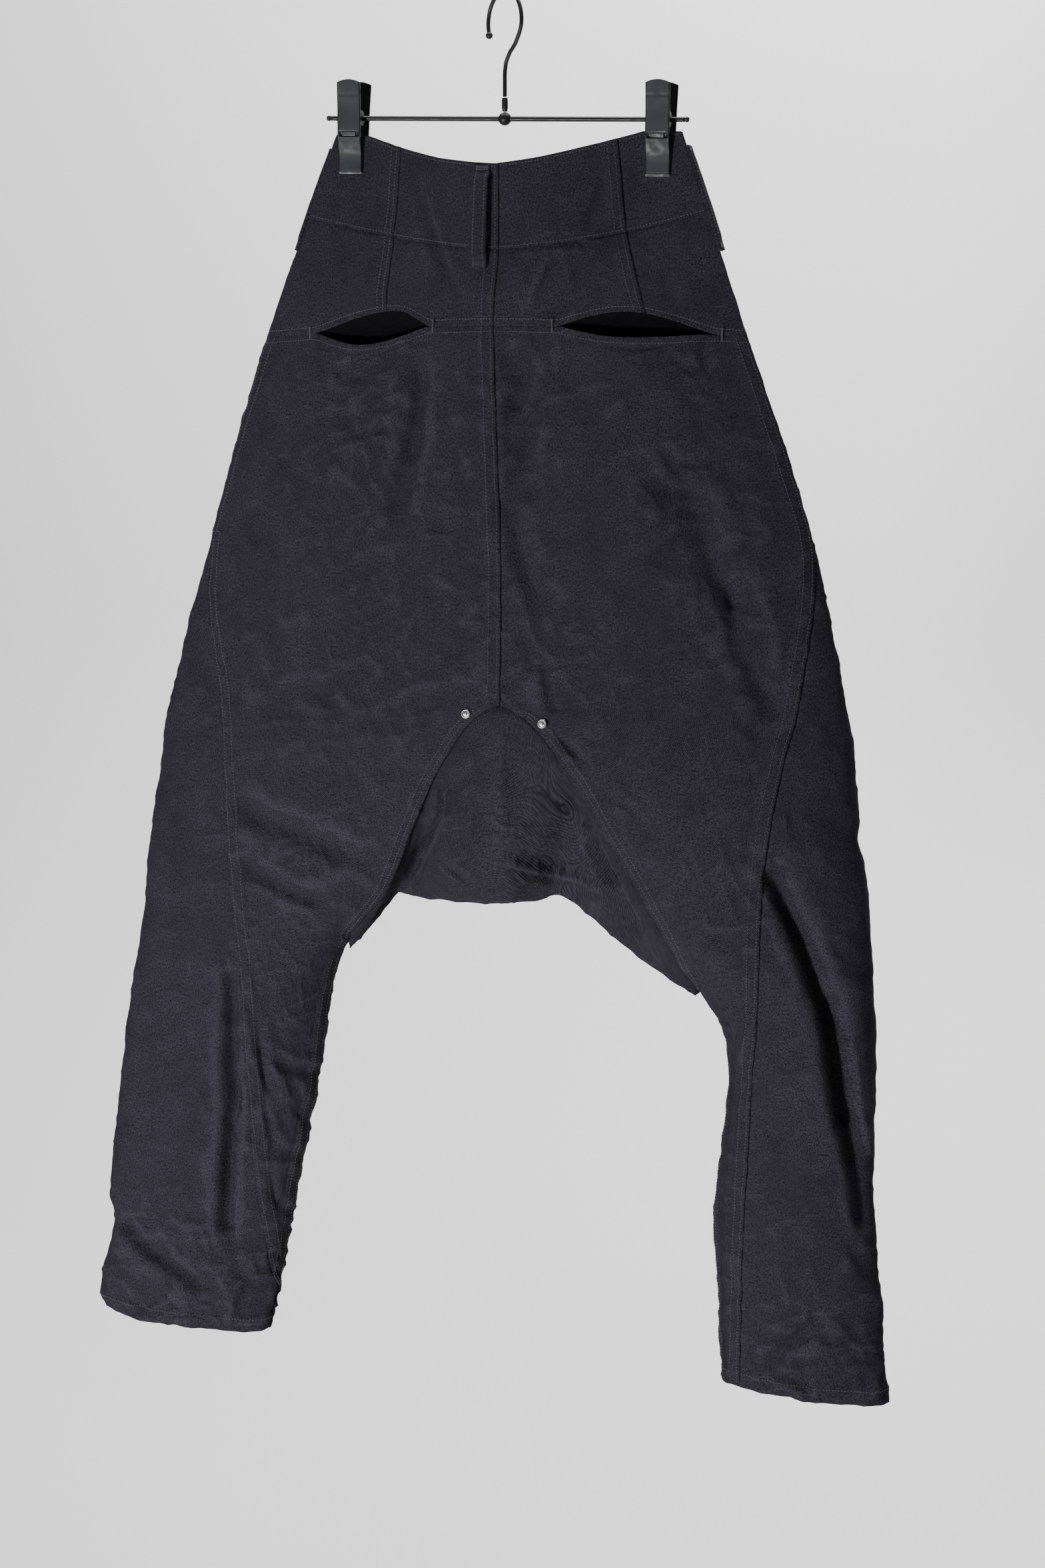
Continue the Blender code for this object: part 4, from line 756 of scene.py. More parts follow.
def dress(obj, slot, *replaced):
    """The object rides on the body in place of the solids it stands for. Its slot is not used."""
    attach(obj, "root")
    if replaced:
        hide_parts(*replaced)
    return obj


def grid_faces(rows, columns, wrap=False):
    index = np.arange(rows * columns).reshape(rows, columns)
    if wrap:
        index = np.concatenate([index, index[:, :1]], 1)
    corners = (index[:-1, :-1], index[1:, :-1], index[1:, 1:], index[:-1, 1:])
    return np.stack(corners, -1).reshape(-1, 4)


def cloth_object(name, points, normal, measures, wear, slot="denim", thickness=None):
    """A thin shell in place of the solid called name. Its outer side is a grid in millimetres."""
    faces = grid_faces(*points.shape[:2])
    a, b, d = (points.reshape(-1, 3)[faces[:, corner]] for corner in (0, 1, 3))
    if np.sum(np.cross(b - a, d - a) * normal.reshape(-1, 3)[faces[:, 0]]) < 0:
        faces = faces[:, ::-1]
    mesh = make_mesh(name + "_cloth", points * MM, faces.tolist(), slot)
    weave = mesh.uv_layers.new(name="weave")
    flat = np.stack(measures, -1).reshape(-1, 2) * MM
    weave.data.foreach_set("uv", flat[faces.reshape(-1)].astype(np.float32).reshape(-1))
    worn = mesh.attributes.new("wear", "FLOAT", "POINT")
    worn.data.foreach_set("value", wear.astype(np.float32).reshape(-1))
    obj = link(name + "_cloth", mesh)
    shell = obj.modifiers.new("Thickness", "SOLIDIFY")
    shell.thickness = thickness * MM if thickness else settings().cloth.thickness
    shell.offset = -1.0
    return dress(obj, slot, name)


def lengths_of(points):
    """Running lengths across and down a grid."""
    return run_lengths(points, 1), run_lengths(points, 0)


def declare_sheet(points):
    """Works out the areas of a sheet's cells over its smooth surface, and keeps none of them."""
    a, b, c, d = points[:-1, :-1], points[1:, :-1], points[1:, 1:], points[:-1, 1:]
    halves = np.linalg.norm(np.cross(b - a, d - a), axis=-1)
    halves = halves + np.linalg.norm(np.cross(d - c, b - c), axis=-1)


CLOTHS = {}


def build_cloth(name, cloth):
    """Makes one sheet's shell and remembers its surface, which the stitches follow."""
    grid = cloth.grid
    measures = (grid.from_start, grid.from_top)
    obj = cloth_object(name, cloth.points, cloth.normal, measures, cloth.wear)
    declare_sheet(grid.plain)
    CLOTHS[name] = cloth


# --- pieces of cloth ----------------------------------------------------------------------------
def lip(x, first, last, peak):
    """0 at a pocket's two ends and 1 at its peak."""
    t = np.where(x < peak, 0.5 * (x - first) / (peak - first), 0.5 + 0.5 * (x - peak) / (last - peak))
    return np.sin(np.clip(t, 0, 1) * math.pi) ** 1.2


def lift_upper_lip(half, v, points):
    """The yoke's lower edge arches up over the pocket, and the rows above it follow."""
    pocket = POCKETS[half.name]
    weight = np.clip(v - WAIST_SEAM, 0, 1) ** 2
    shape = lip(half.sign * points[..., 0], pocket.inner_x, pocket.outer_x, pocket.lift_x)
    points[..., 2] += pocket.lift * weight * shape
    return points


def drop_lower_lip(half, v, points):
    """The panel's upper edge sags and gapes at the pocket, and the rows below it follow."""
    pocket = POCKETS[half.name]
    weight = np.clip(1 - (v - YOKE_SEAM) / 0.8, 0, 1) ** 2
    shape = weight * lip(half.sign * points[..., 0], pocket.inner_x, pocket.outer_x, pocket.sag_x)
    points[..., 2] -= pocket.sag * shape
    points[..., 1] -= pocket.gape * shape
    return points


HEM_WAVES = (Ripple(17, 1.3, 21), Ripple(7, 0.6, 22))
HEM_WAVES_FROM, HEM_WAVES_FADE = 13.2, 0.8


def wave_hem(half, v, points):
    """The hem's edge wavers up and down where washing has drawn it in."""
    place = np.stack([points[..., 0], points[..., 1], 0 * v], -1)
    points[..., 2] += waves(place, HEM_WAVES) * smooth_step((v - HEM_WAVES_FROM) / HEM_WAVES_FADE)
    return points


def shape_back(half, v, points):
    return wave_hem(half, v, drop_lower_lip(half, v, points))


def fell(edge, first=FROM_ABOVE, last=TO_BELOW, width=FELL_WIDTH, height=FELL_HEIGHT):
    return Seam(edge, width, height, first, last)


def side_pi(v):
    return np.full(np.shape(v), math.pi)


HEM = fell("bottom", width=HEM_WIDTH, height=HEM_HEIGHT)
UPPER_LIP, LOWER_LIP = fell("bottom", width=6.5, height=0.5), fell("top", width=6.0, height=0.5)
BAND_TOP = fell("top", width=2.6, height=-0.35)


def build_back_panel(half):
    grid = Grid(half, BACK, (YOKE_SEAM, HEM_LEVEL), (half.inner_angle, half.side_angle))
    inner_from = YOKE_SEAM - 1 if half.name == "left" else ARCH_TOP
    seams = (fell("start", inner_from), fell("end"), HEM, LOWER_LIP)
    laps = [over("start", inner_from), over("end"), under("top")]
    if half.name == "right":
        laps.append(under("start", last=ARCH_TOP))
    cloth = Cloth(grid, WALL, seams, laps, shape_back)
    build_cloth("back_panel_" + half.name, cloth)


def build_front_panel(half):
    grid = Grid(half, FRONT, (WAIST_SEAM, HEM_LEVEL), (half.side_angle, half.front_inner_angle))
    inner_from = WAIST_SEAM if half.name == "right" else ARCH_TOP
    laps = [under("start"), under("top"), over("end", inner_from, ARCH_END), under("end", ARCH_END)]
    if half.name == "left":
        laps.append(under("end", last=ARCH_TOP))
    cloth = Cloth(grid, WALL, (fell("end", inner_from), HEM), laps, wave_hem)
    build_cloth("front_panel_" + half.name, cloth)


def piece_laps(half, stem):
    """How a waistband or yoke piece meets its neighbours: the left laps at the back, the right in front."""
    left = half.name == "left"
    if "centre" in stem:
        return [over("start"), under("end")] if left else [under("start"), over("end")]
    if "front" in stem:
        return [under("start"), under("end") if left else over("end")]
    return [over("start") if left else under("start"), over("end")]


def piece_seams(half, stem):
    """The felled seam that a waistband or yoke piece has on one of its two ends, if any."""
    if "front" in stem or (half.name == "right" and "side" in stem):
        return ()
    return (fell("start" if half.name == "left" else "end"),)


def build_waistband(half):
    pieces = (
        ("waistband_back_centre_", BACK, half.inner_angle, half.princess_angle),
        ("waistband_back_side_", BACK, half.princess_angle, side_pi),
        ("waistband_front_", FRONT, side_pi, half.front_inner_angle),
    )
    for stem, face, start, end in pieces:
        grid = Grid(half, face, (WAIST_TOP, WAIST_SEAM), (start, end))
        seams, laps = (*piece_seams(half, stem), BAND_TOP), [*piece_laps(half, stem), over("bottom")]
        build_cloth(stem + half.name, Cloth(grid, BAND_WALL, seams, laps))


def build_yoke(half):
    pieces = (("centre_", half.inner_angle, half.princess_angle), ("side_", half.princess_angle, side_pi))
    for place, start, end in pieces:
        grid = Grid(half, BACK, (WAIST_SEAM, YOKE_SEAM), (start, end))
        seams = (*piece_seams(half, place), UPPER_LIP)
        laps = [*piece_laps(half, place), under("top"), over("bottom")]
        cloth = Cloth(grid, WALL, seams, laps, lift_upper_lip)
        build_cloth("yoke_" + place + half.name, cloth)


def gusset_column(half, v, q):
    """Points from the back arch (q 0) under the crotch fold to the front arch (q 1), at level v."""
    angle = half.inner_angle(v)
    points, normals = [], []
    for face, place in ((BACK, angle), (FRONT, 2 * math.pi - angle)):
        point, normal = half.plain(v, place, face)
        points.append(point + normal * fold_height(point, FOLDS[face]))
        normals.append(normal)
    fold = np.array([half.sign * half.read("fold_x", v), 0.0, half.read("fold_z", v)])
    taut = smooth_step((v - ARCH_TOP - 0.5) / 1.1)
    swing = np.cos(math.pi * q) * (1 - taut) + (1 - 2 * q) * taut
    hang = np.sin(math.pi * q) ** 0.8 * (1 - taut) + (1 - np.abs(1 - 2 * q)) * taut
    on_back = (q < 0.5)[:, None]
    column = np.where(on_back, points[0], points[1]) * (1 - hang)[:, None] + fold * hang[:, None]
    column[:, 1] = np.where(q < 0.5, points[0][1], -points[1][1]) * swing
    return column, np.where(on_back, normals[0], normals[1])


def gusset_end(half):
    """The lowest level at which the arch's back and front edges still stand apart."""
    v = np.linspace(ARCH_END - 1, ARCH_END, 401)
    points, _ = half.plain(v, half.inner_angle(v), BACK)
    return v[np.nonzero(points[:, 1] < -GUSSET_END_DEPTH)[0][-1]]


GUSSET_BACK_ROWS, GUSSET_FRONT_ROWS, GUSSET_COLUMNS, GUSSET_SPLIT = 120, 44, 92, 0.55
GUSSET_LIFT = 0.6


def build_gusset():
    """The hanging gusset: columns from the back arch round the crotch fold to the front arch."""
    q = np.concatenate([np.linspace(0, GUSSET_SPLIT, GUSSET_BACK_ROWS),
                        np.linspace(GUSSET_SPLIT, 1, GUSSET_FRONT_ROWS)[1:]])
    columns, edges = [], []
    for half in HALVES.values():
        ease = np.linspace(0, 1, GUSSET_COLUMNS) ** 1.3
        levels = ARCH_TOP + (gusset_end(half) - ARCH_TOP) * ease
        for level in (levels[::-1] if half.name == "left" else levels[1:]):
            points, edge = gusset_column(half, level, q)
            columns.append(points)
            edges.append(edge)
    plain, edge = np.stack(columns, 1), np.stack(edges, 1)
    square = grid_normal(plain, edge + np.array([0.0, 0.0, -0.6]))
    turn = np.clip(np.sin(math.pi * q) * 1.3, 0, 1)[:, None, None]
    normal = unit(edge * (1 - turn) + square * turn)
    hold = np.where(q < 0.5, np.sin(math.pi * q) ** 0.5, 0.0)[:, None]
    ends = np.sin(math.pi * q)[:, None] ** 0.4
    height = (fold_height(plain, GUSSET_FOLDS) + crease_height(plain, GUSSET_CREASES)) * hold
    height = height + crumple(plain) * ends * settings().cloth.crumple
    points = plain + normal * (WALL * GUSSET_LIFT + height)[..., None]
    for edge, inner in ((0, 1), (-1, -2)):
        points[edge] += unit(points[edge] - points[inner]) * TUCK_OUT - normal[edge] * TUCK_DOWN
        points[inner] -= normal[inner] * TUCK_DOWN * 0.5
    obj = cloth_object("crotch_gusset", points, normal, lengths_of(plain), wear_of(height))
    declare_sheet(plain)


# A pocket bag's rows, round from behind the upper lip, down the bag's inner layer, and up its
# outer layer to the lower lip: the level, how far inside the sheet, and which lip it follows.
BagRow = namedtuple("BagRow", "level inside lip")
BAG_ROWS = (
    BagRow(1.80, 1.2, "upper"), BagRow(1.95, 2.0, "upper"), BagRow(2.15, 6.5, "upper"),
    BagRow(2.55, 12.5, "upper"), BagRow(2.92, 12.0, "upper"), BagRow(3.02, 8.0, "lower"),
    BagRow(2.92, 3.8, "lower"), BagRow(2.55, 3.8, "lower"), BagRow(2.25, 3.2, "lower"),
    BagRow(2.06, 2.6, "lower"),
)
BAG_INSET, BAG_END, BAG_EASE, BAG_DENT, BAG_COLUMNS, BAG_STEPS = 3.0, 5.2, 1.6, 1.3, 34, 5
BAG_WALL, BAG_LIFT, BAG_WAVES = 0.8, 0.9, (Ripple(14, 0.25, 4),)


def build_pocket_bag(half):
    """A folded bag: its inner layer hangs behind the mouth, its outer layer backs the panel."""
    pocket = POCKETS[half.name]
    x = np.linspace(pocket.inner_x + BAG_INSET, pocket.outer_x - BAG_INSET, BAG_COLUMNS)
    deep = np.sin(np.linspace(0, math.pi, BAG_COLUMNS)) ** 0.5
    rows = []
    for row in BAG_ROWS:
        v = np.full(BAG_COLUMNS, row.level)
        points, normal = half.plain(v, half.angle_at(v, x), BACK)
        dents = np.minimum(crease_height(points, BACK_CREASES), 0) * BAG_DENT - BAG_EASE
        points = points + normal * (fold_height(points, BACK_FOLDS) + dents)[..., None]
        if row.lip == "lower":
            points, end = drop_lower_lip(half, v, points), row.inside
        else:
            points = lift_upper_lip(half, np.minimum(v, YOKE_SEAM), points)
            end = min(row.inside, BAG_END)
        rows.append(points - normal * (end + (row.inside - end) * deep)[:, None])
    knots = np.arange(len(rows))
    dense = np.linspace(0, knots[-1], (len(rows) - 1) * BAG_STEPS + 1)
    stack = np.stack(rows).reshape(len(rows), -1)
    points = np.stack([np.interp(dense, knots, column) for column in stack.T], -1)
    points = points.reshape(len(dense), BAG_COLUMNS, 3)
    normal = grid_normal(points, points.mean(axis=0, keepdims=True) - points)
    height = waves(points, BAG_WAVES)
    points = points + normal * (BAG_LIFT + height)[..., None]
    # The bag's near-black colour is partly its own dark cloth and partly painted shade inside the pocket.
    obj = cloth_object("pocket_bag_" + half.name, points, normal, lengths_of(points), wear_of(height),
                       "pocketing", BAG_WALL)
    declare_sheet(points)


# --- trims --------------------------------------------------------------------------------------
LOOP_WIDTH, LOOP_WALL, LOOP_LENGTH, LOOP_SEWN = 14.0, 2.0, 84.0, 0.35
LOOP_ROWS = ((0.0, LOOP_SEWN), (0.07, LOOP_SEWN), (0.13, 4.8), (0.30, 6.0), (0.70, 6.0),
             (0.87, 4.8), (0.93, LOOP_SEWN), (1.0, LOOP_SEWN))
SIDE_LOOP_ROWS = ((0.0, LOOP_SEWN), (0.07, LOOP_SEWN), (0.20, 0.7), (0.44, 1.0), (0.60, 1.3),
                  (0.84, 1.2), (0.93, LOOP_SEWN), (1.0, LOOP_SEWN))
SIDE_SEWN = 0.5
SIDE_LOOP_Y = 4.0
LOOP_TOP_Z = {"back": -140.0, "front": -140.0, "left": -122.0, "right": -126.0}
BACK_LOOP_X, FRONT_LOOP_X = 10.0, 78.0
LOOP_STEPS, LOOP_COLUMNS = 66, 11
LOOPS = {}
LOOP_THICKNESS, SIDE_LOOP_THICKNESS, LOOP_WAVES = 1.7, 3.0, (Ripple(6, 0.14, 8),)
# Across a loop: its edges turn down, and its stitch rows lie in a shallow groove on each side.
LOOP_EDGE, LOOP_GROOVE, LOOP_GROOVE_AT, LOOP_GROOVE_WIDTH = 0.55, 0.18, 0.66, 0.12


def loop_cloth(name, points, normal, thickness=LOOP_THICKNESS):
    """One belt loop from its grid of inside points: crowned, with edges that turn under."""
    away = np.abs(np.linspace(-1, 1, LOOP_COLUMNS))[None, :]
    crown = LOOP_WALL - LOOP_EDGE * away**6
    crown = crown - LOOP_GROOVE * np.exp(-((away - LOOP_GROOVE_AT) / LOOP_GROOVE_WIDTH) ** 2)
    height = crown + waves(points, LOOP_WAVES)
    outer = points + normal * height[..., None]
    measures = lengths_of(points)
    obj = cloth_object(name, outer, normal, measures, wear_of(height), thickness=thickness)
    LOOPS[name] = (outer, grid_normal(outer, normal))


def loop_profile(rows):
    """The loop's height off the cloth along its length, on an eased line through its rows."""
    shares, stands = zip(*rows)
    share = np.linspace(0, 1, LOOP_STEPS)
    i = np.clip(np.searchsorted(shares, share, side="right") - 1, 0, len(rows) - 2)
    low, high = np.array(shares)[i], np.array(shares)[i + 1]
    ease = smooth_step((share - low) / (high - low))
    return share, np.array(stands)[i] * (1 - ease) + np.array(stands)[i + 1] * ease


def build_loop(name, half, face, x, top_z):
    """A belt loop standing off the waistband between its two sewn ends."""
    offsets = np.linspace(-0.5, 0.5, LOOP_COLUMNS) * LOOP_WIDTH
    v = np.linspace(WAIST_TOP, HIP, 1200)
    columns, directions = [], []
    share, stand = loop_profile(LOOP_ROWS)
    for offset in offsets:
        line, out = half.plain(v, half.face_angle(v, x + half.sign * offset, face), face)
        z = top_z - share * LOOP_LENGTH
        x_at, y_at, *turn = (np.interp(-z, -line[:, 2], values)
                             for values in (line[:, 0], line[:, 1], *out.T))
        turn = unit(np.stack(turn, -1))
        columns.append(np.stack([x_at, y_at, z], -1) + turn * (BAND_WALL + stand)[:, None])
        directions.append(turn)
    loop_cloth(name, np.stack(columns, 1), np.stack(directions, 1))


def build_side_loop(half):
    """A belt loop across the fold of the waist's side."""
    outline = np.linspace(WAIST_TOP, YOKE_SEAM, 401)
    widths = half.read("outer_x", outline)
    heights = half.read("outer_z", outline) + half.lift(outline, widths)
    share, stand = loop_profile(SIDE_LOOP_ROWS)
    z = LOOP_TOP_Z[half.name] - share * LOOP_LENGTH
    x = half.sign * (np.interp(-z, -heights, widths) - WALL + SIDE_SEWN + stand)
    y = SIDE_LOOP_Y + np.linspace(-0.5, 0.5, LOOP_COLUMNS) * LOOP_WIDTH
    points = np.stack(np.broadcast_arrays(x[:, None], y[None, :], z[:, None]), -1)
    out = np.broadcast_to([float(half.sign), 0.0, 0.0], points.shape)
    loop_cloth("belt_loop_side_" + half.name, points, out, SIDE_LOOP_THICKNESS)


FLY_INSET, FLY_WIDTH, FLY_WALL, FLY_EDGE = 1.5, 38.0, 1.2, 0.5
FLY_TOP, FLY_CURVE, FLY_FOOT = 1.06, 2.20, 2.94
FLY_ROWS, FLY_COLUMNS = 62, 14


def fly_line(v):
    """The fly's outer edge: straight, then curving in to the front seam."""
    curve = np.clip((v - FLY_CURVE) / (FLY_FOOT - FLY_CURVE), 0, 1) ** 2.2
    return FLY_WIDTH * np.sqrt(np.clip(1 - curve, 0.04, 1))


def build_fly():
    """The fly's topstitched facing, raised on the left front beside the front seam."""
    half = HALVES["left"]
    v = np.linspace(FLY_TOP, FLY_FOOT - 0.02, FLY_ROWS)
    share = np.linspace(0, 1, FLY_COLUMNS)[None, :]
    x = (half.seam_line(v)[0] + FLY_INSET)[:, None] + share * fly_line(v)[:, None]
    angle = half.face_angle(v[:, None], x, FRONT)
    grid_v = np.broadcast_to(v[:, None], x.shape)
    plain, normal = half.plain(grid_v, angle, FRONT)
    height = half.relief(plain, angle, FRONT) + level_crumple(plain, grid_v)
    edge = FLY_EDGE * share**8
    points = plain + normal * (WALL + SEAM_GAP + FLY_WALL - edge + height)[..., None]
    obj = cloth_object("fly_facing", points, normal, lengths_of(plain), wear_of(height))
    declare_sheet(plain)
    LOOPS["fly_facing"] = (points, grid_normal(points, normal))


# --- turned pieces ------------------------------------------------------------------------------
BUTTON_X, BUTTON_Z, BUTTON_LIFT, BUTTON_RADIUS, BUTTON_HEIGHT = -13.0, -180.0, 0.4, 8.5, 3.4
RIVET_RADIUS, RIVET_HEIGHT, RIVET_LIFT = 4.3, 1.8, 0.5
RIVETS = {"left": (-12, -588), "right": (54, -594)}
# Profiles as shares of radius and height, from the top's middle round to the foot's.
RIVET_PROFILE = ((0.0, 0.94), (0.18, 1.0), (0.28, 0.90), (0.36, 0.42), (0.54, 0.38), (0.64, 0.68),
                 (0.76, 0.80), (0.90, 0.66), (0.99, 0.34), (1.0, 0.10), (0.97, 0.0), (0.0, 0.0))
BUTTON_PROFILE = ((0.0, 0.50), (0.30, 0.52), (0.55, 0.58), (0.68, 0.80), (0.74, 0.95), (0.82, 1.0),
                  (0.92, 0.96), (1.0, 0.80), (0.98, 0.52), (0.88, 0.42), (0.45, 0.34), (0.42, 0.0),
                  (0.0, 0.0))


TURN_STEPS = 40


def scaled(profile, radius, height):
    return [(radius * share, height * rise) for share, rise in profile]


def turned(name, profile, slot, replaced, matrix):
    """A solid of revolution about Z from (radius, height) pairs, from its top to its foot."""
    turn = np.linspace(0, 2 * math.pi, TURN_STEPS, endpoint=False)
    radii, heights = np.array(profile, float).T
    radii = np.maximum(radii, 1e-6)
    points = np.stack([radii[:, None] * np.cos(turn), radii[:, None] * np.sin(turn),
                       np.broadcast_to(heights[:, None], (len(radii), TURN_STEPS))], -1)
    mesh = make_mesh(name, points, grid_faces(len(radii), TURN_STEPS, wrap=True).tolist(), slot)
    mesh.transform(matrix)
    mesh.set_sharp_from_angle(angle=math.radians(50))
    dress(link(name, mesh), slot, replaced)


def place_along(direction, place):
    """A matrix that puts +Z along a direction, at a place in metres."""
    turn = Vector((0, 0, 1)).rotation_difference(Vector(direction)).to_matrix().to_4x4()
    return Matrix.Translation(place) @ turn


def surface_at(half, face, x, z):
    """The sheet's inside point, with its folds, and its outward direction at real x and z."""
    v = np.linspace(WAIST_TOP, HEM_LEVEL, 2801)
    angle = half.face_angle(v, half.sign * x, face)
    points, _ = half.plain(v, angle, face)
    best = int(np.argmin(np.abs(points[:, 2] - z)))
    point, out = half.plain(v[best], angle[best], face)
    point = point + out * fold_height(point, FOLDS[face])
    point[2] = z
    return point, out


def build_fasteners():
    """The two rivets at the arch's shoulders and the button at the front of the waist."""
    shapes = [("rivet_" + name, HALVES[name], BACK, place, WALL + RIVET_LIFT, RIVET_PROFILE,
               RIVET_RADIUS, RIVET_HEIGHT, "rivet_metal") for name, place in RIVETS.items()]
    shapes.append(("waist_button", HALVES["left"], FRONT, (BUTTON_X, BUTTON_Z), BAND_WALL + BUTTON_LIFT,
                   BUTTON_PROFILE, BUTTON_RADIUS, BUTTON_HEIGHT, "button_metal"))
    for name, half, face, place, lift, profile, radius, height, metal in shapes:
        point, out = surface_at(half, face, *place)
        matrix = place_along(out, (point + out * lift) * MM)
        turned(name + "_cap", scaled(profile, radius * MM, height * MM), metal, name, matrix)


# --- stitches -----------------------------------------------------------------------------------
def edge_line(cloth, edge, distance, first=FROM_ABOVE, last=TO_BELOW):
    """Points and outward directions at one distance from a sheet's edge, between two levels."""
    grid = cloth.grid
    away = grid.distance(edge)
    both = np.concatenate([cloth.points, cloth.normal, grid.v[..., None]], -1)
    if edge in ("top", "bottom"):
        away, both = away.T, both.transpose(1, 0, 2)
    if edge in ("end", "bottom"):
        away, both = away[:, ::-1], both[:, ::-1]
    line = np.array([[np.interp(distance, near, column) for column in row.T]
                     for near, row in zip(away, both)])
    line = line[(line[:, 6] >= first) & (line[:, 6] <= last)]
    return line[:, :3], unit(line[:, 3:6])


def drop_ends(line, out, start, end):
    """The line without its first and last few millimetres."""
    run = run_lengths(line, 0)
    keep = (run >= start) & (run <= run[-1] - end)
    return line[keep], out[keep]


STITCH_FLATNESS, STITCH_RISE, STITCH_DIP = 1.25, 0.16, 0.25


def stitch_points(line, out, pitch, length, thickness):
    """Small rounded bars along a line, each dipping into the cloth at its two ends."""
    run = run_lengths(line, 0)
    count = int(run[-1] / pitch)
    if count < 1:
        return np.zeros((0, 10, 3))
    middle = (np.arange(count) + 0.5) * run[-1] / count
    middle = middle + soft_noise(np.stack([middle * 3.1] * 3, -1), 5, 2) * 0.10 * pitch

    def read(values, place):
        return np.stack([np.interp(place, run, column) for column in values.T], -1)

    up = unit(read(out, middle))
    a, b = read(line, middle - length / 2), read(line, middle + length / 2)
    forward = unit(b - a)
    side = unit(np.cross(forward, up))
    stations = []
    for share, radius in ((0.28, 1.0), (0.72, 1.0)):
        centre = a + (b - a) * share + up * STITCH_RISE
        for turn in range(4):
            around = math.pi / 4 + turn * math.pi / 2
            spoke = side * math.cos(around) * STITCH_FLATNESS + up * math.sin(around)
            stations.append(centre + spoke * radius * thickness / 2)
    ends = [a - up * STITCH_DIP, b - up * STITCH_DIP]
    return np.stack([ends[0], *stations, ends[1]], 1)


STITCH_FACES = (
    [(0, 1 + (i + 1) % 4, 1 + i) for i in range(4)]
    + [(1 + i, 1 + (i + 1) % 4, 5 + (i + 1) % 4, 5 + i) for i in range(4)]
    + [(9, 5 + i, 5 + (i + 1) % 4) for i in range(4)]
)


def build_stitches(name, rows):
    """One object that holds every stitch along some rows of (line, out, pitch, length, thickness)."""
    points = np.concatenate([stitch_points(*row) for row in rows])
    faces = [[index + 10 * number for index in face]
             for number in range(len(points)) for face in STITCH_FACES]
    dress(link(name, make_mesh(name, points * MM, faces, "thread")), "denim")


# Rows of stitches: the sheet, the edge, the distance from it, and the levels that it runs between.
StitchRow = namedtuple("StitchRow", "sheet edge distance first last")
FELL_ROWS, ARCH_ROWS, PRINCESS_ROWS = (2.2, 9.8), (4.5, 10.0), (3.0, 8.6)
HEM_ROW, LOWER_LIP_ROW, UPPER_LIP_ROW, BAND_TOP_ROW, BAND_FOOT_ROW = (12.0,), (5.4,), (5.0,), (2.7,), (1.4,)
LOOP_STITCH_COLUMNS, FLY_STITCH_COLUMNS = (1.9, 8.1), (8, 11)
# Bartacks: where they lie along a loop, the rows in each, and the pitch and length of a stitch.
BARTACK_SHARES, BARTACK_SHIFTS = (0.035, 0.955), (-0.9, 0.0, 0.9)
BARTACK_PITCH, BARTACK_LENGTH, BARTACK_THICKNESS = 1.1, 1.3, 1.25
POCKET_TACK_REACH, POCKET_TACK_LIFT, POCKET_TACK_OUT = 5.5, 0.9, 2.0
POCKET_TACK_STITCH = (0.8, 1.0, 1.5)


def seam_rows(sheet, edge, distances, first=FROM_ABOVE, last=TO_BELOW):
    return [StitchRow(sheet, edge, distance, first, last) for distance in distances]


def double(sheet, edge, first=FROM_ABOVE, last=TO_BELOW):
    return seam_rows(sheet, edge, FELL_ROWS, first, last)


def stitch_plan():
    """The rows of stitches on every sheet, in the objects that hold them."""
    plan = {"back_left": [], "back_right": [], "front_left": [], "front_right": [], "waist": []}
    for name in ("left", "right"):
        panel = "back_panel_" + name
        plan["back_" + name] += [
            *double(panel, "end"), *seam_rows(panel, "start", ARCH_ROWS, ARCH_TOP, ARCH_END),
            *double(panel, "start", ARCH_END + 0.03),
            *seam_rows(panel, "bottom", HEM_ROW), *seam_rows(panel, "top", LOWER_LIP_ROW)]
        panel = "front_panel_" + name
        plan["front_" + name] += [
            *seam_rows(panel, "end", ARCH_ROWS, ARCH_TOP, ARCH_END), *seam_rows(panel, "bottom", HEM_ROW)]
        for stem in ("waistband_back_centre_", "waistband_back_side_", "waistband_front_"):
            plan["waist"] += seam_rows(stem + name, "top", BAND_TOP_ROW)
            plan["waist"] += seam_rows(stem + name, "bottom", BAND_FOOT_ROW)
        for stem in ("yoke_centre_", "yoke_side_"):
            plan["waist"] += seam_rows(stem + name, "bottom", UPPER_LIP_ROW)
    plan["back_left"] += double("back_panel_left", "start", YOKE_SEAM, ARCH_TOP - 0.02)
    plan["front_right"] += double("front_panel_right", "end", WAIST_SEAM, ARCH_TOP - 0.02)
    for stem in ("waistband_back_", "yoke_"):
        plan["waist"] += double(stem + "centre_left", "start")
        plan["waist"] += seam_rows(stem + "centre_right", "end", PRINCESS_ROWS)
        plan["waist"] += seam_rows(stem + "side_left", "start", PRINCESS_ROWS)
    return plan


def loop_rows(points, normal):
    """A loop's two dotted rows and the bartacks over its sewn ends."""
    pitch, length, thickness = stitch_size()
    rows = []
    for column in LOOP_STITCH_COLUMNS:
        low = int(column)
        mix = column - low
        line = points[:, low] * (1 - mix) + points[:, low + 1] * mix
        rows.append((line, normal[:, low], pitch, length, thickness))
    for share in BARTACK_SHARES:
        for shift in BARTACK_SHIFTS:
            row = share * (len(points) - 1) + shift
            low = int(np.clip(row, 0, len(points) - 2))
            mix = np.clip(row - low, 0, 1)
            line = points[low] * (1 - mix) + points[low + 1] * mix
            rows.append((line[1:-1], normal[low][1:-1], BARTACK_PITCH, BARTACK_LENGTH,
                         thickness * BARTACK_THICKNESS))
    return rows


def stitch_size():
    cloth = settings().cloth
    return cloth.stitch_pitch / MM, cloth.stitch_length / MM, cloth.thread_width / MM


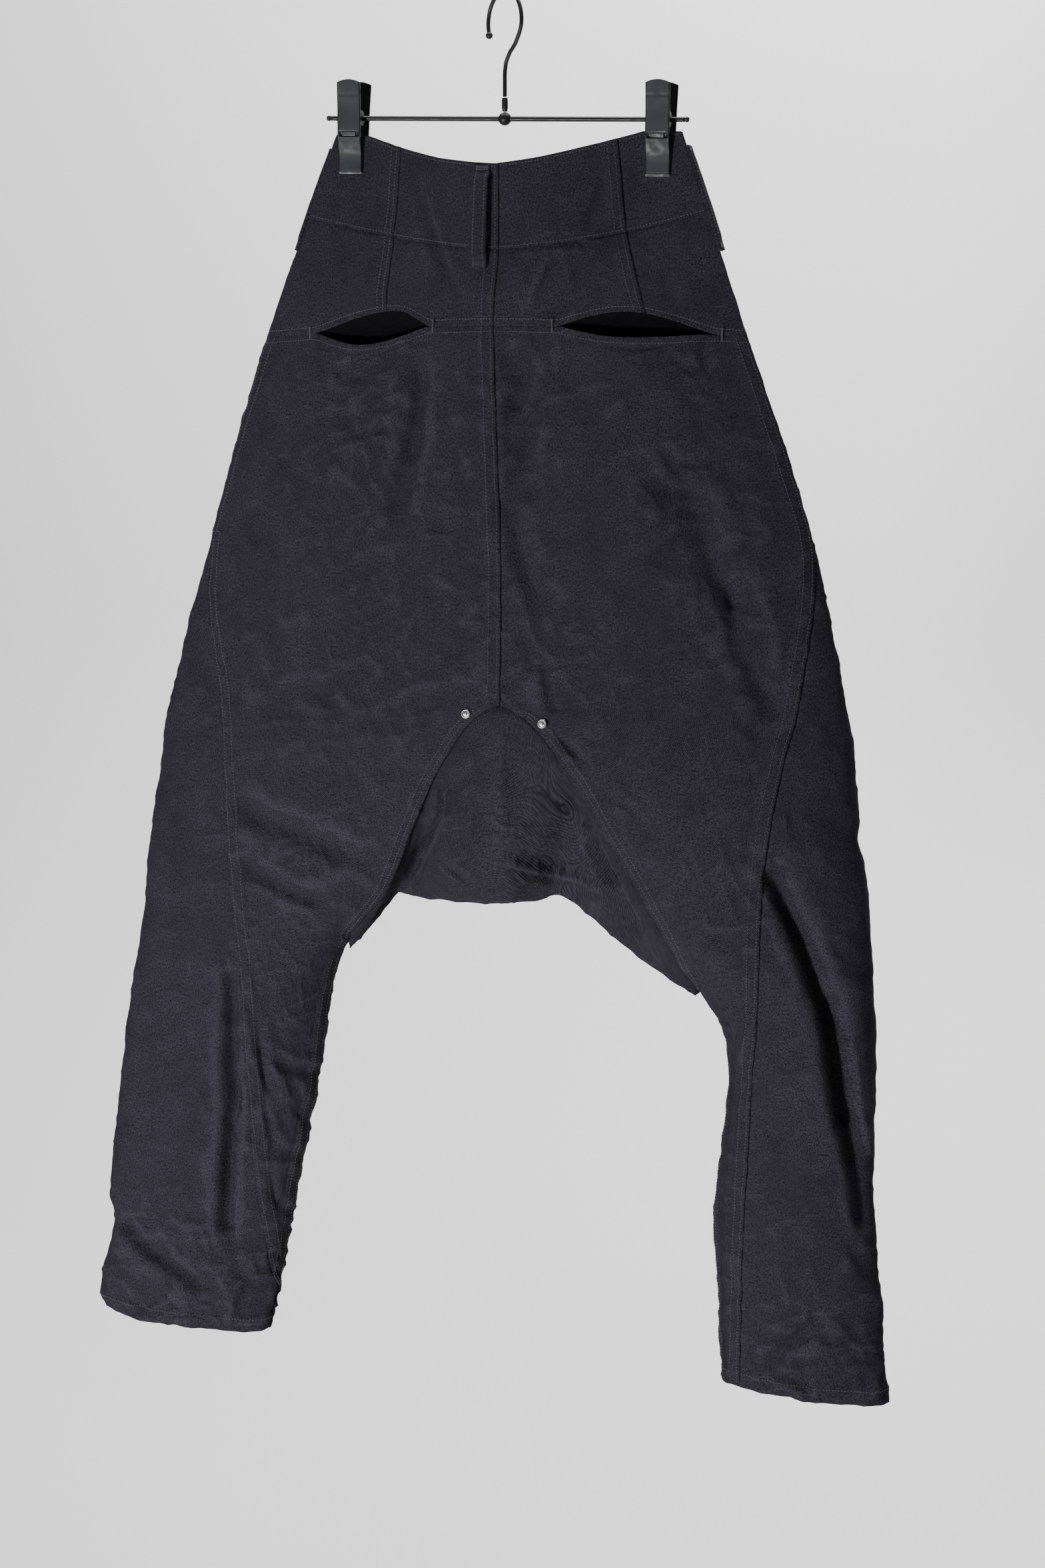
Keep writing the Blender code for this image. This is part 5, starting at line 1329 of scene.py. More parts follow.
def build_all_stitches():
    """Sews every row of the plan, then the loops, the fly and the pockets' ends."""
    size = stitch_size()
    for name, rows in stitch_plan().items():
        lines = []
        for row in rows:
            line, out = edge_line(CLOTHS[row.sheet], row.edge, row.distance, row.first, row.last)
            lines.append((*drop_ends(line, out, 1.0, 1.0), *size))
        build_stitches("stitches_" + name, lines)
    lines = []
    for name, (points, normal) in LOOPS.items():
        if name == "fly_facing":
            lines += [(points[:, column], normal[:, column], *size) for column in FLY_STITCH_COLUMNS]
        else:
            lines += loop_rows(points, normal)
    build_stitches("stitches_loops", lines)
    tacks = []
    for name, half in HALVES.items():
        pocket = POCKETS[name]
        for end, outwards in ((pocket.inner_x, -1), (pocket.outer_x, 1)):
            tacks.append(pocket_tack(half, end + POCKET_TACK_OUT * outwards))
    build_stitches("stitches_bartacks", tacks)


def pocket_tack(half, x):
    """The upright bartack that closes one end of a pocket."""
    angle = half.angle_at(YOKE_SEAM, x)
    point, out = half.plain(YOKE_SEAM, angle, BACK)
    height = half.relief(point[None, :], np.array([angle]), BACK)[0]
    point = point + out * (WALL + POCKET_TACK_LIFT + height)
    reach = np.array([0, 0, POCKET_TACK_REACH])
    return (np.stack([point + reach, point - reach]), np.stack([out, out]), *POCKET_TACK_STITCH)


# --- hanger, in metres --------------------------------------------------------------------------
HANGER_TILT = math.radians(1.6)
BAR_Z, BAR_RADIUS, BAR_HALF_LENGTH = -0.1015, 0.0021, 0.1515
KNOB_RADIUS, KNOB_LENGTH = 0.0023, 0.0055
WIRE_RADIUS, HOOK_RADIUS, HOOK_TURN, HOOK_TIP_RADIUS = 0.00175, 0.025, math.radians(-38.6), 0.003
BALL_RADIUS, COLLAR_RADIUS, COLLAR_LENGTH, PART_GAP = 0.0055, 0.0026, 0.012, 0.0003
CLIP_X, CLIP_TOP_Z, CLIP_BOTTOM_Z, SLOT_Z = 0.1335, -0.0730, -0.1450, -0.1150
CLIP_HALF_WIDTH, CLIP_WALL = 0.0102, 0.0026
PIVOT_RADIUS, PIVOT_LENGTH = 0.0065, 0.016
SLOT_WIDTH, SLOT_HEIGHT, INSERT_WIDTH = 0.0172, 0.0040, 0.0115
TIP_HEIGHT, FINGER_RISE = 0.0022, 0.0025
JAW_LINE = ((0.0120, CLIP_TOP_Z), (0.0110, -0.082), (0.0096, -0.094), (0.0090, -0.106),
            (0.0084, -0.116), (0.0064, -0.124), (0.0042, -0.130), (0.0036, -0.136),
            (0.0036, CLIP_BOTTOM_Z))
SLOT_FACE, GRIP_FACE = 0.0090, 0.0036
SHANK = ((0.0, -0.072), (0.0, -0.064), (0.0018, -0.056), (0.0075, -0.0485), (0.0155, -0.0425),
         (0.0215, -0.0345))
HOOK_FROM, HOOK_TO, HOOK_STEPS, HOOK_KNOTS = math.radians(-12), math.radians(196), 60, 240
HOOK_TIP_SINK, BALL_STEPS, HOOK_EASING, JAW_EASING = 0.0008, 20, 12, 8
QUARTER_TURN = Matrix.Rotation(math.pi / 2, 4, "Y")
KNOB_PROFILE = ((0.0, 1.0), (0.45, 0.99), (0.75, 0.95), (0.95, 0.84), (1.0, 0.7), (1.0, 0.50),
                (0.72, 0.42), (0.72, 0.34), (1.0, 0.26), (0.86, 0.1), (0.8, 0.0), (0.0, 0.0))
COLLAR_PROFILE = ((0.0, 1.0), (0.72, 1.0), (0.84, 0.97), (0.96, 0.88), (1.0, 0.78), (1.0, 0.30),
                  (0.92, 0.16), (0.80, 0.06), (0.74, 0.0), (0.0, 0.0))


def tilt():
    """The bar's frame, in which it lies along X."""
    return Matrix.Translation((0, 0, BAR_Z)) @ Matrix.Rotation(HANGER_TILT, 4, "Y")


def eased(line, times):
    """A line with its bends smoothed and its two ends held."""
    for _ in range(times):
        line[1:-1] = line[1:-1] * 0.5 + (line[:-2] + line[2:]) * 0.25
    return line


def hook_route():
    """The hook's wire: up the shank, out on a bend, and round the hook to its tip."""
    knots = [(0.0, BAR_Z + BALL_RADIUS + COLLAR_LENGTH + PART_GAP), *SHANK]
    centre_z = WIRE_RADIUS - HOOK_RADIUS
    for i in range(HOOK_STEPS + 1):
        angle = HOOK_FROM + (HOOK_TO - HOOK_FROM) * i / HOOK_STEPS
        knots.append((HOOK_RADIUS * math.cos(angle), centre_z + HOOK_RADIUS * math.sin(angle)))
    knots = np.array(knots)
    run = run_lengths(knots, 0)
    place = np.linspace(0, run[-1], HOOK_KNOTS)
    flat = np.stack([np.interp(place, run, knots[:, axis]) for axis in range(2)], -1)
    turn = Matrix.Rotation(HOOK_TURN, 3, "Z")
    return [turn @ Vector((across, 0.0, up)) for across, up in eased(flat, HOOK_EASING)]


def ball_profile(radius, bore=0.0):
    """A ball's profile, cut short at both ends where a bore runs through it."""
    reach = math.sqrt(radius**2 - bore**2)
    heights = [reach * math.cos(math.pi * i / BALL_STEPS) for i in range(BALL_STEPS + 1)]
    return [(math.sqrt(max(radius**2 - height**2, 0.0)), height) for height in heights]


def build_hook():
    """The hook's wire and the ball on its tip."""
    route = hook_route()
    wire = bpy.data.curves.new("hook_wire", "CURVE")
    wire.dimensions = "3D"
    wire.bevel_depth = WIRE_RADIUS
    wire.bevel_resolution = 8
    wire.use_fill_caps = True
    spline = wire.splines.new("POLY")
    spline.points.add(len(route) - 1)
    for knot, point in zip(spline.points, route):
        knot.co = (*point, 1.0)
    wire.materials.append(material("hanger_black"))
    dress(link("hook_wire", wire), "hanger_black", "hook")
    end = (route[-1] - route[-2]).normalized()
    place = route[-1] + end * (HOOK_TIP_RADIUS - HOOK_TIP_SINK)
    turned("hook_ball_tip", ball_profile(HOOK_TIP_RADIUS), "hanger_black", "hook_tip",
           Matrix.Translation(place))


def build_bar():
    """The rod that the clips slide on, and its two end knobs."""
    ends = ((0, 1), (1, 1), (1, -1), (0, -1))
    turned("bar_rod", scaled(ends, BAR_RADIUS, BAR_HALF_LENGTH), "hanger_black", "hanger_bar",
           tilt() @ QUARTER_TURN)
    for name, side in (("left", -1), ("right", 1)):
        place = tilt() @ place_along((side, 0, 0), (side * (BAR_HALF_LENGTH + PART_GAP), 0, 0))
        turned("bar_end_" + name, scaled(KNOB_PROFILE, KNOB_RADIUS, KNOB_LENGTH), "hanger_black",
               "bar_knob_" + name, place)


def build_swivel():
    """The ball on the bar and the sleeve that the hook's wire stands in."""
    bore = BAR_RADIUS + PART_GAP
    profile = ball_profile(BALL_RADIUS, bore)
    profile += [(bore, profile[-1][1]), (bore, profile[0][1]), profile[0]]
    turned("swivel_knuckle", profile, "hanger_black", "swivel_ball", tilt() @ QUARTER_TURN)
    sleeve = scaled(COLLAR_PROFILE, COLLAR_RADIUS, COLLAR_LENGTH - 2 * PART_GAP)
    turned("swivel_sleeve", sleeve, "hanger_black", "swivel_collar",
           Matrix.Translation((0, 0, BAR_Z + BALL_RADIUS + PART_GAP)))


JAW_ROWS, JAW_COLUMNS = 76, 33
FINGER_LENGTH, JAW_BEVEL = 0.008, 0.0006
SLOT_DEPTH, SLOT_SOFTNESS = 0.0016, 0.0006
GROOVE_DOWN, GROOVE_WIDTH, GROOVE_DEPTH = 0.010, 0.0007, 0.00025
# Where the painted shade on the jaw's long rims starts, as a share of its half width.
PAINTED_SHADE_FROM, PAINTED_SHADE_FADE = 0.88, 0.07
PIVOT_BEVEL, INSERT_DEPTH, INSERT_GAP, INSERT_BEVEL = 0.0006, 0.0009, 0.0005, 0.0002


def jaw_surface():
    """The jaw's inner face, as distance from the middle and height, on a smooth line of knots."""
    away, height = np.array(JAW_LINE).T
    place = np.linspace(0, len(JAW_LINE) - 1, JAW_ROWS)
    line = np.stack([np.interp(place, np.arange(len(away)), column) for column in (away, height)], -1)
    return eased(line, JAW_EASING)


def build_jaw(name, side, x, slotted):
    """A jaw plate with a rounded finger end, softened rims and, on the outer one, a slot. Its long rims and
    the slot's recess carry painted shade.
    """
    line = jaw_surface()
    across = np.linspace(-1, 1, JAW_COLUMNS)
    rise = FINGER_RISE * (1 - across**2)
    top = np.clip((line[:, 1] - (CLIP_TOP_Z - FINGER_LENGTH)) / FINGER_LENGTH, 0, 1)
    inner = np.empty((JAW_ROWS, JAW_COLUMNS, 3))
    inner[..., 0] = x + CLIP_HALF_WIDTH * across
    inner[..., 1] = side * line[:, :1]
    inner[..., 2] = line[:, 1:] + top[:, None] ** 2 * rise
    thickness = CLIP_WALL * np.ones(inner.shape[:2])
    # Painted shade: the jaw's long rims and side walls are darkened in colour.
    painted_shade_mask = smooth_step((np.abs(across) - PAINTED_SHADE_FROM) / PAINTED_SHADE_FADE)[None, :] + 0 * thickness
    if slotted:
        wide = smooth_step((SLOT_WIDTH / 2 - np.abs(inner[..., 0] - x)) / SLOT_SOFTNESS)
        tall = smooth_step((SLOT_HEIGHT / 2 - np.abs(inner[..., 2] - SLOT_Z)) / SLOT_SOFTNESS)
        thickness -= SLOT_DEPTH * wide * tall
        groove = np.exp(-((inner[..., 2] - (CLIP_TOP_Z - GROOVE_DOWN)) / GROOVE_WIDTH) ** 2)
        thickness -= GROOVE_DEPTH * groove
        # The slot's recess is darkened in colour too: painted shade.
        painted_shade_mask = np.maximum(painted_shade_mask, wide * tall)
    outer = inner + np.stack([0 * thickness, side * thickness, 0 * thickness], -1)
    count = JAW_ROWS * JAW_COLUMNS
    faces = grid_faces(JAW_ROWS, JAW_COLUMNS)
    index = np.arange(count).reshape(JAW_ROWS, JAW_COLUMNS)
    rim = np.concatenate([index[0, :-1], index[:-1, -1], index[-1, :0:-1], index[:0:-1, 0]])
    walls = np.stack([rim, np.roll(rim, -1), np.roll(rim, -1) + count, rim + count], -1)
    faces = np.concatenate([faces[:, ::-1], faces + count, walls]).tolist()
    slot = "clip_grey" if slotted else "hanger_black"
    mesh = make_mesh(name, np.stack([inner, outer]), faces, slot)
    builder = bmesh.new()
    builder.from_mesh(mesh)
    bmesh.ops.recalc_face_normals(builder, faces=builder.faces)
    builder.to_mesh(mesh)
    builder.free()
    mesh.transform(tilt() @ Matrix.Translation((0, 0, -BAR_Z)))
    # The rim attribute carries this painted shade to the finish.
    dark = mesh.attributes.new("rim", "FLOAT", "POINT")
    dark.data.foreach_set("value", np.tile(painted_shade_mask.reshape(-1), 2).astype(np.float32))
    mesh.set_sharp_from_angle(angle=math.radians(60))
    obj = link(name + "_plate", mesh)
    bevel = obj.modifiers.new("Soft rim", "BEVEL")
    bevel.width = JAW_BEVEL
    bevel.segments = 3
    bevel.angle_limit = math.radians(60)
    dress(obj, slot, name)


def bar_block(name, size, place, bevel, replaced):
    """A bright metal strip with softened edges."""
    builder = bmesh.new()
    bmesh.ops.create_cube(builder, size=1.0)
    bmesh.ops.scale(builder, vec=size, verts=builder.verts)
    bmesh.ops.bevel(builder, geom=list(builder.edges), offset=bevel, segments=3, affect="EDGES")
    mesh = bpy.data.meshes.new(name)
    builder.to_mesh(mesh)
    builder.free()
    mesh.transform(tilt() @ Matrix.Translation(place))
    mesh.materials.append(material("clip_silver"))
    mesh.shade_smooth()
    mesh.set_sharp_from_angle(angle=math.radians(35))
    dress(link(name, mesh), "clip_silver", replaced)


def build_clip(name, x):
    """Two jaws that close on the waistband, their pivot tube, the slot insert and the tip."""
    build_jaw("clip_front_jaw_" + name, BACK, x, True)
    build_jaw("clip_back_jaw_" + name, FRONT, x, False)
    bore, half, radius = BAR_RADIUS + PART_GAP, PIVOT_LENGTH / 2, PIVOT_RADIUS
    tube = ((bore, half), (radius - PIVOT_BEVEL, half), (radius, half - PIVOT_BEVEL),
            (radius, PIVOT_BEVEL - half), (radius - PIVOT_BEVEL, -half), (bore, -half), (bore, half))
    turned("clip_barrel_" + name, tube, "hanger_black", "clip_pivot_" + name,
           tilt() @ Matrix.Translation((x, 0, 0)) @ QUARTER_TURN)
    slot_y = -(SLOT_FACE + CLIP_WALL - SLOT_DEPTH + INSERT_GAP)
    bar_block("clip_insert_" + name, (INSERT_WIDTH, INSERT_DEPTH, SLOT_HEIGHT - 0.0010),
              (x, slot_y, SLOT_Z - BAR_Z), INSERT_BEVEL, "clip_slot_" + name)
    tip_z = CLIP_BOTTOM_Z - PART_GAP - TIP_HEIGHT / 2
    bar_block("clip_edge_" + name, (2 * CLIP_HALF_WIDTH, CLIP_WALL, TIP_HEIGHT),
              (x, -(GRIP_FACE + CLIP_WALL / 2), tip_z - BAR_Z), JAW_BEVEL, "clip_tip_" + name)


# --- materials ----------------------------------------------------------------------------------
def feed(tree, made, inputs):
    """Fills a node's inputs, each from another node's socket or with a constant."""
    for key, value in inputs.items():
        if isinstance(value, bpy.types.NodeSocket):
            tree.links.new(value, made.inputs[key])
        else:
            made.inputs[key].default_value = value


def node(tree, kind, inputs, **values):
    made = tree.nodes.new(kind)
    for key, value in values.items():
        setattr(made, key, value)
    feed(tree, made, inputs)
    return made


def blend(tree, factor, low, high):
    """A colour between two, by a factor. Either one may be a colour or another node's socket."""
    low, high = ((*ends, 1.0) if isinstance(ends, list) else ends for ends in (low, high))
    return node(tree, "ShaderNodeMix", {0: factor, 6: low, 7: high}, data_type="RGBA").outputs[2]


def ramp(tree, value, low, high, bottom=0.0, top=1.0):
    inputs = {0: value, 1: low, 2: high, 3: bottom, 4: top}
    return node(tree, "ShaderNodeMapRange", inputs).outputs[0]


def noise(tree, place, scale, detail, roughness=0.5, distortion=0.0):
    inputs = {0: place, "Scale": scale, "Detail": detail, "Roughness": roughness, "Distortion": distortion}
    return node(tree, "ShaderNodeTexNoise", inputs).outputs[0]


def bump(tree, height, strength, distance, below=None):
    inputs = {"Height": height, "Strength": strength, "Distance": distance}
    if below:
        inputs["Normal"] = below
    return node(tree, "ShaderNodeBump", inputs).outputs[0]


def mapped(tree, place, turn=0.0, scale=(1.0, 1.0)):
    inputs = {0: place, 2: (0.0, 0.0, turn), 3: (*scale, 1.0)}
    return node(tree, "ShaderNodeMapping", inputs).outputs[0]


def shader_of(made):
    """A new material's nodes, its surface and the place of each point on the object."""
    made.use_nodes = True
    tree = made.node_tree
    return tree, tree.nodes["Principled BSDF"], node(tree, "ShaderNodeTexCoord", {}).outputs["Object"]


def shades(colour, *shares):
    return [[min(1.0, channel * share) for channel in colour] for share in shares]


# The slant of the twill's ribs, and how dark, light and pale its yarns are for each unit of heather.
TWILL_SLANT = math.radians(-52)
DARKER, LIGHTER, PALER = -0.75, 1.3, 1.45


def denim_like(made, colour, twill, heather):
    """Twill cloth: fine slanting ribs, heathered threads, small creases, paler where it has worn."""
    tree, shader, place = shader_of(made)
    dark, light, pale = shades(colour, *(1 + tone * heather for tone in (DARKER, LIGHTER, PALER)))
    weave = node(tree, "ShaderNodeUVMap", {}, uv_map="weave").outputs[0]
    rib = node(tree, "ShaderNodeTexWave",
               {0: mapped(tree, weave, TWILL_SLANT), "Scale": 1 / (twill * 3.14), "Distortion": 1.4,
                "Detail": 1.0, "Detail Scale": 3.0}).outputs["Fac"]
    threads = noise(tree, mapped(tree, weave, scale=(900.0, 560.0)), 1.0, 2.0, roughness=0.75)
    wefts = noise(tree, mapped(tree, weave, scale=(140.0, 1100.0)), 1.0, 2.0)
    wash = noise(tree, place, 34.0, 6.0, roughness=0.6)
    small = noise(tree, place, 120.0, 4.0, roughness=0.6, distortion=0.8)
    worn = node(tree, "ShaderNodeAttribute", {}, attribute_name="wear").outputs["Fac"]
    yarn = blend(tree, ramp(tree, threads, 0.34, 0.66), dark, light)
    slubbed = blend(tree, ramp(tree, wefts, 0.58, 0.76), yarn, light)
    ribbed = blend(tree, ramp(tree, rib, 0.05, 0.45), dark, slubbed)
    washed = blend(tree, ramp(tree, wash, 0.30, 0.72), ribbed, slubbed)
    edge = node(tree, "ShaderNodeMath", {0: ramp(tree, worn, 0.42, 1.2), 1: ramp(tree, threads, 0.3, 0.75)},
                operation="MULTIPLY").outputs[0]
    creased = bump(tree, small, 0.7, 0.0016)
    slubs = bump(tree, threads, 0.8, 0.0005, creased)
    feed(tree, shader, {"Base Color": blend(tree, edge, washed, pale),
                        "Roughness": ramp(tree, threads, 0.0, 1.0, 0.80, 0.98),
                        "Specular IOR Level": 0.02, "Normal": bump(tree, rib, 0.5, 0.0003, slubs)})


def thread_like(made, colour):
    """Stitching thread, with a twist of light and dark."""
    tree, shader, place = shader_of(made)
    dark, light = shades(colour, 0.6, 1.0)
    twist = ramp(tree, noise(tree, place, 240.0, 2.0), 0.3, 0.7)
    feed(tree, shader, {"Base Color": blend(tree, twist, dark, light), "Roughness": 0.6,
                        "Sheen Weight": 0.15})


def metal_like(made, colour, rough, metallic, scratch):
    """Metal or paint with faint handling marks, and painted shade on rims and in recesses where a mesh's rim
    attribute says so.
    """
    tree, shader, place = shader_of(made)
    # painted_shade is the darker colour painted where shade falls on rims and in recesses.
    dull, painted_shade, clean = shades(colour, 0.78, 0.18, 1.0)
    haze = noise(tree, place, 160.0, 5.0)
    # The rim attribute marks where the painted shade goes.
    rim = node(tree, "ShaderNodeAttribute", {}, attribute_name="rim").outputs["Fac"]
    face = blend(tree, ramp(tree, noise(tree, place, 30.0, 2.0), 0.35, 0.65), dull, clean)
    feed(tree, shader, {"Base Color": blend(tree, rim, face, painted_shade),
                        "Roughness": ramp(tree, haze, 0.3, 0.7, rough * 0.75, min(rough * 1.35, 1.0)),
                        "Metallic": metallic, "Specular IOR Level": 0.2,
                        "Normal": bump(tree, haze, scratch, 0.00008)})


def plain_like(made, colour, rough):
    """Studio card with the faintest mottle."""
    tree, shader, place = shader_of(made)
    low, high = shades(colour, 0.985, 1.0)
    feed(tree, shader, {"Base Color": blend(tree, noise(tree, place, 3.0, 3.0), low, high),
                        "Roughness": rough})


# Each finish: what makes it, the settings and the colour that it takes, and its other values.
FINISHES = {
    "denim": (denim_like, "cloth", "denim_colour", 0.0010, 0.9),
    # The pocket bags' finish: their own dark cloth, darkened further as painted shade inside the pockets.
    "pocketing": (denim_like, "cloth", "pocketing_colour", 0.0012, 0.3),
    "thread": (thread_like, "cloth", "thread_colour"),
    "rivet_metal": (metal_like, "hanger", "rivet_colour", 0.28, 1.0, 0.3),
    "button_metal": (metal_like, "hanger", "button_colour", 0.36, 1.0, 0.4),
    "hanger_black": (metal_like, "hanger", "wire_colour", 0.4, 0.0, 0.2),
    "clip_grey": (metal_like, "hanger", "clip_colour", 0.5, 0.0, 0.35),
    "clip_silver": (metal_like, "hanger", "silver_colour", 0.22, 1.0, 0.2),
    "stage": (plain_like, "stage", "floor_colour", 0.85),
}


def material(name):
    """The finish of one name, made when it is first asked for."""
    full_name = name.replace("_", " ") + " finish"
    made = bpy.data.materials.get(full_name)
    if not made:
        made = bpy.data.materials.new(full_name)
        finish, group, colour, *values = FINISHES[name]
        finish(made, tuple(getattr(getattr(settings(), group), colour)), *values)
    return made


# --- stage --------------------------------------------------------------------------------------
CAMERA_PLACE = (0.8173, -2.4683, -0.3094)
CAMERA_TURN = (math.radians(82.44), 0.0, math.radians(18.0))
CAMERA_LENS, CAMERA_SENSOR = 71.04, 36.0
Light = namedtuple("Light", "name place target size colour")
LIGHTS = (
    Light("key", (-0.68, -2.1, -1.3), (0.0, 0.0, -0.8), 0.3, (1.0, 0.98, 0.96)),
    Light("fill", (2.6, -2.2, 0.6), (0.0, 0.0, -0.62), 2.0, (0.93, 0.96, 1.0)),
    Light("wall", (0.0, 0.7, 1.9), (0.0, 2.6, -0.8), 2.4, (1.0, 1.0, 1.0)),
)
STAGE_WIDTH, STAGE_HEIGHT, STAGE_BEND, STAGE_BEND_AT = 6.0, 6.0, 0.9, 1.6


def build_camera():
    camera = bpy.data.cameras.new("camera")
    camera.lens, camera.sensor_width = CAMERA_LENS, CAMERA_SENSOR
    camera.dof.use_dof = False
    obj = link("camera", camera)
    obj.location, obj.rotation_euler = CAMERA_PLACE, CAMERA_TURN
    bpy.context.scene.camera = obj


def add_light(light, power):
    lamp = bpy.data.lights.new(light.name, "AREA")
    lamp.shape, lamp.size, lamp.energy, lamp.color = "SQUARE", light.size, power, light.colour
    obj = link(light.name, lamp)
    obj.location = light.place
    aim = Vector(light.target) - Vector(light.place)
    obj.rotation_euler = aim.to_track_quat("-Z", "Y").to_euler()


def build_backdrop(stage):
    """One pale sheet: a floor that sweeps up into a wall behind."""
    turns = np.linspace(0, math.pi / 2, 24)[1:]
    bend = [(STAGE_BEND_AT + math.sin(turn) * STAGE_BEND, STAGE_BEND - math.cos(turn) * STAGE_BEND)
            for turn in turns]
    profile = [(-STAGE_WIDTH, 0.0), (STAGE_BEND_AT, 0.0), *bend, (STAGE_BEND_AT + STAGE_BEND, STAGE_HEIGHT)]
    points = np.array([[(x, y, z + stage.floor_height) for x in (-STAGE_WIDTH, STAGE_WIDTH)]
                       for y, z in profile])
    faces = grid_faces(len(profile), 2).tolist()
    link("backdrop", make_mesh("backdrop", points, faces, "stage"))


def build_world(strength):
    world = bpy.data.worlds.new("studio")
    bpy.context.scene.world = world
    world.use_nodes = True
    sky = world.node_tree.nodes["Background"]
    sky.inputs["Color"].default_value = (0.92, 0.95, 1.0, 1.0)
    sky.inputs["Strength"].default_value = strength


# --- add-on -------------------------------------------------------------------------------------
def colour_property(name, description, default):
    return FloatVectorProperty(name=name, description=description, subtype="COLOR", size=3, min=0.0, max=1.0,
                               default=default)


class HaremPantsCloth(bpy.types.PropertyGroup):
    denim_colour: colour_property("Denim", "Colour of the denim before wear", (0.0165, 0.0156, 0.0215))
    # The pocket bags' colour: their own dark cloth, darkened further as painted shade inside the pockets.
    pocketing_colour: colour_property("Pocketing", "Colour of the pocket bags", (0.004, 0.004, 0.005))
    thread_colour: colour_property("Thread", "Colour of the stitching", (0.029, 0.029, 0.038))
    thickness: FloatProperty(name="Cloth", description="Thickness of one layer of denim", default=0.0012,
                             min=0.0004, max=0.0014, unit="LENGTH", subtype="DISTANCE", precision=4)
    stitch_pitch: FloatProperty(name="Stitch pitch", description="Distance from one stitch to the next",
                                default=0.0026, min=0.0015, max=0.005, unit="LENGTH",
                                subtype="DISTANCE", precision=4)
    stitch_length: FloatProperty(name="Stitch length", description="Length of one stitch", default=0.0019,
                                 min=0.001, max=0.004, unit="LENGTH", subtype="DISTANCE", precision=4)
    thread_width: FloatProperty(name="Thread", description="Thickness of the thread", default=0.0005,
                                min=0.0003, max=0.0008, unit="LENGTH", subtype="DISTANCE", precision=4)
    crumple: FloatProperty(name="Crumple", description="Size of the small waves, from none to strong",
                           default=1.0, min=0.0, max=1.6, subtype="FACTOR")


class HaremPantsHanger(bpy.types.PropertyGroup):
    wire_colour: colour_property("Hanger", "Colour of the hook, bar and swivel", (0.010, 0.010, 0.011))
    clip_colour: colour_property("Clips", "Colour of the clip jaws", (0.020, 0.023, 0.029))
    silver_colour: colour_property("Clip metal", "Colour of the clips' bright parts", (0.72, 0.72, 0.72))
    rivet_colour: colour_property("Rivets", "Colour of the rivets", (0.17, 0.17, 0.18))
    button_colour: colour_property("Button", "Colour of the waist button", (0.10, 0.10, 0.11))


class HaremPantsStage(bpy.types.PropertyGroup):
    floor_height: FloatProperty(name="Floor", description="Height of the floor below the rail", default=-1.60,
                                min=-3.0, max=-1.25, unit="LENGTH", subtype="DISTANCE")
    floor_colour: colour_property("Floor", "Colour of the floor and backdrop", (0.80, 0.80, 0.80))
    key_power: FloatProperty(name="Key", description="Power of the main light", default=86.0, min=0.0,
                             max=1000.0, unit="POWER")
    fill_power: FloatProperty(name="Fill", description="Power of the fill light", default=3.0, min=0.0,
                              max=1000.0, unit="POWER")
    wall_power: FloatProperty(name="Wall", description="Power of the light on the backdrop", default=230.0,
                              min=0.0, max=1000.0, unit="POWER")
    world_strength: FloatProperty(name="Room", description="Brightness of the room's own light", default=0.05,
                                  min=0.0, max=5.0)


class HaremPantsSettings(bpy.types.PropertyGroup):
    cloth: PointerProperty(type=HaremPantsCloth)
    hanger: PointerProperty(type=HaremPantsHanger)
    stage: PointerProperty(type=HaremPantsStage)


class BuildPanels(bpy.types.Operator):
    """Makes the back and front leg panels"""

    bl_idname = "harem_pants.build_panels"
    bl_label = "Build Panels"

    def execute(self, context):
        for half in HALVES.values():
            build_back_panel(half)
            build_front_panel(half)
        return {"FINISHED"}


class BuildWaist(bpy.types.Operator):
    """Makes the waistband and the yoke"""

    bl_idname = "harem_pants.build_waist"
    bl_label = "Build Waistband and Yoke"

    def execute(self, context):
        for half in HALVES.values():
            build_waistband(half)
            build_yoke(half)
        return {"FINISHED"}


class BuildGusset(bpy.types.Operator):
    """Makes the hanging crotch gusset"""

    bl_idname = "harem_pants.build_gusset"
    bl_label = "Build Gusset"

    def execute(self, context):
        build_gusset()
        return {"FINISHED"}


class BuildPocketBags(bpy.types.Operator):
    """Makes the bags inside the slit pockets"""

    bl_idname = "harem_pants.build_pocket_bags"
    bl_label = "Build Pocket Bags"

    def execute(self, context):
        for half in HALVES.values():
            build_pocket_bag(half)
        return {"FINISHED"}


class BuildTrims(bpy.types.Operator):
    """Makes the belt loops, the fly facing, the rivets and the button"""

    bl_idname = "harem_pants.build_trims"
    bl_label = "Build Loops, Fly and Fasteners"

    def execute(self, context):
        build_loop("belt_loop_back", HALVES["left"], BACK, BACK_LOOP_X, LOOP_TOP_Z["back"])
        for name, half in HALVES.items():
            build_loop("belt_loop_front_" + name, half, FRONT, FRONT_LOOP_X, LOOP_TOP_Z["front"])
            build_side_loop(half)
        build_fly()
        build_fasteners()
        return {"FINISHED"}


class BuildStitches(bpy.types.Operator):
    """Sews every seam, hem, loop and bartack. The cloth is built first"""

    bl_idname = "harem_pants.build_stitches"
    bl_label = "Build Stitching"

    def execute(self, context):
        if not CLOTHS or not LOOPS:
            raise RuntimeError("The cloth and the belt loops are built before they are sewn")
        build_all_stitches()
        return {"FINISHED"}


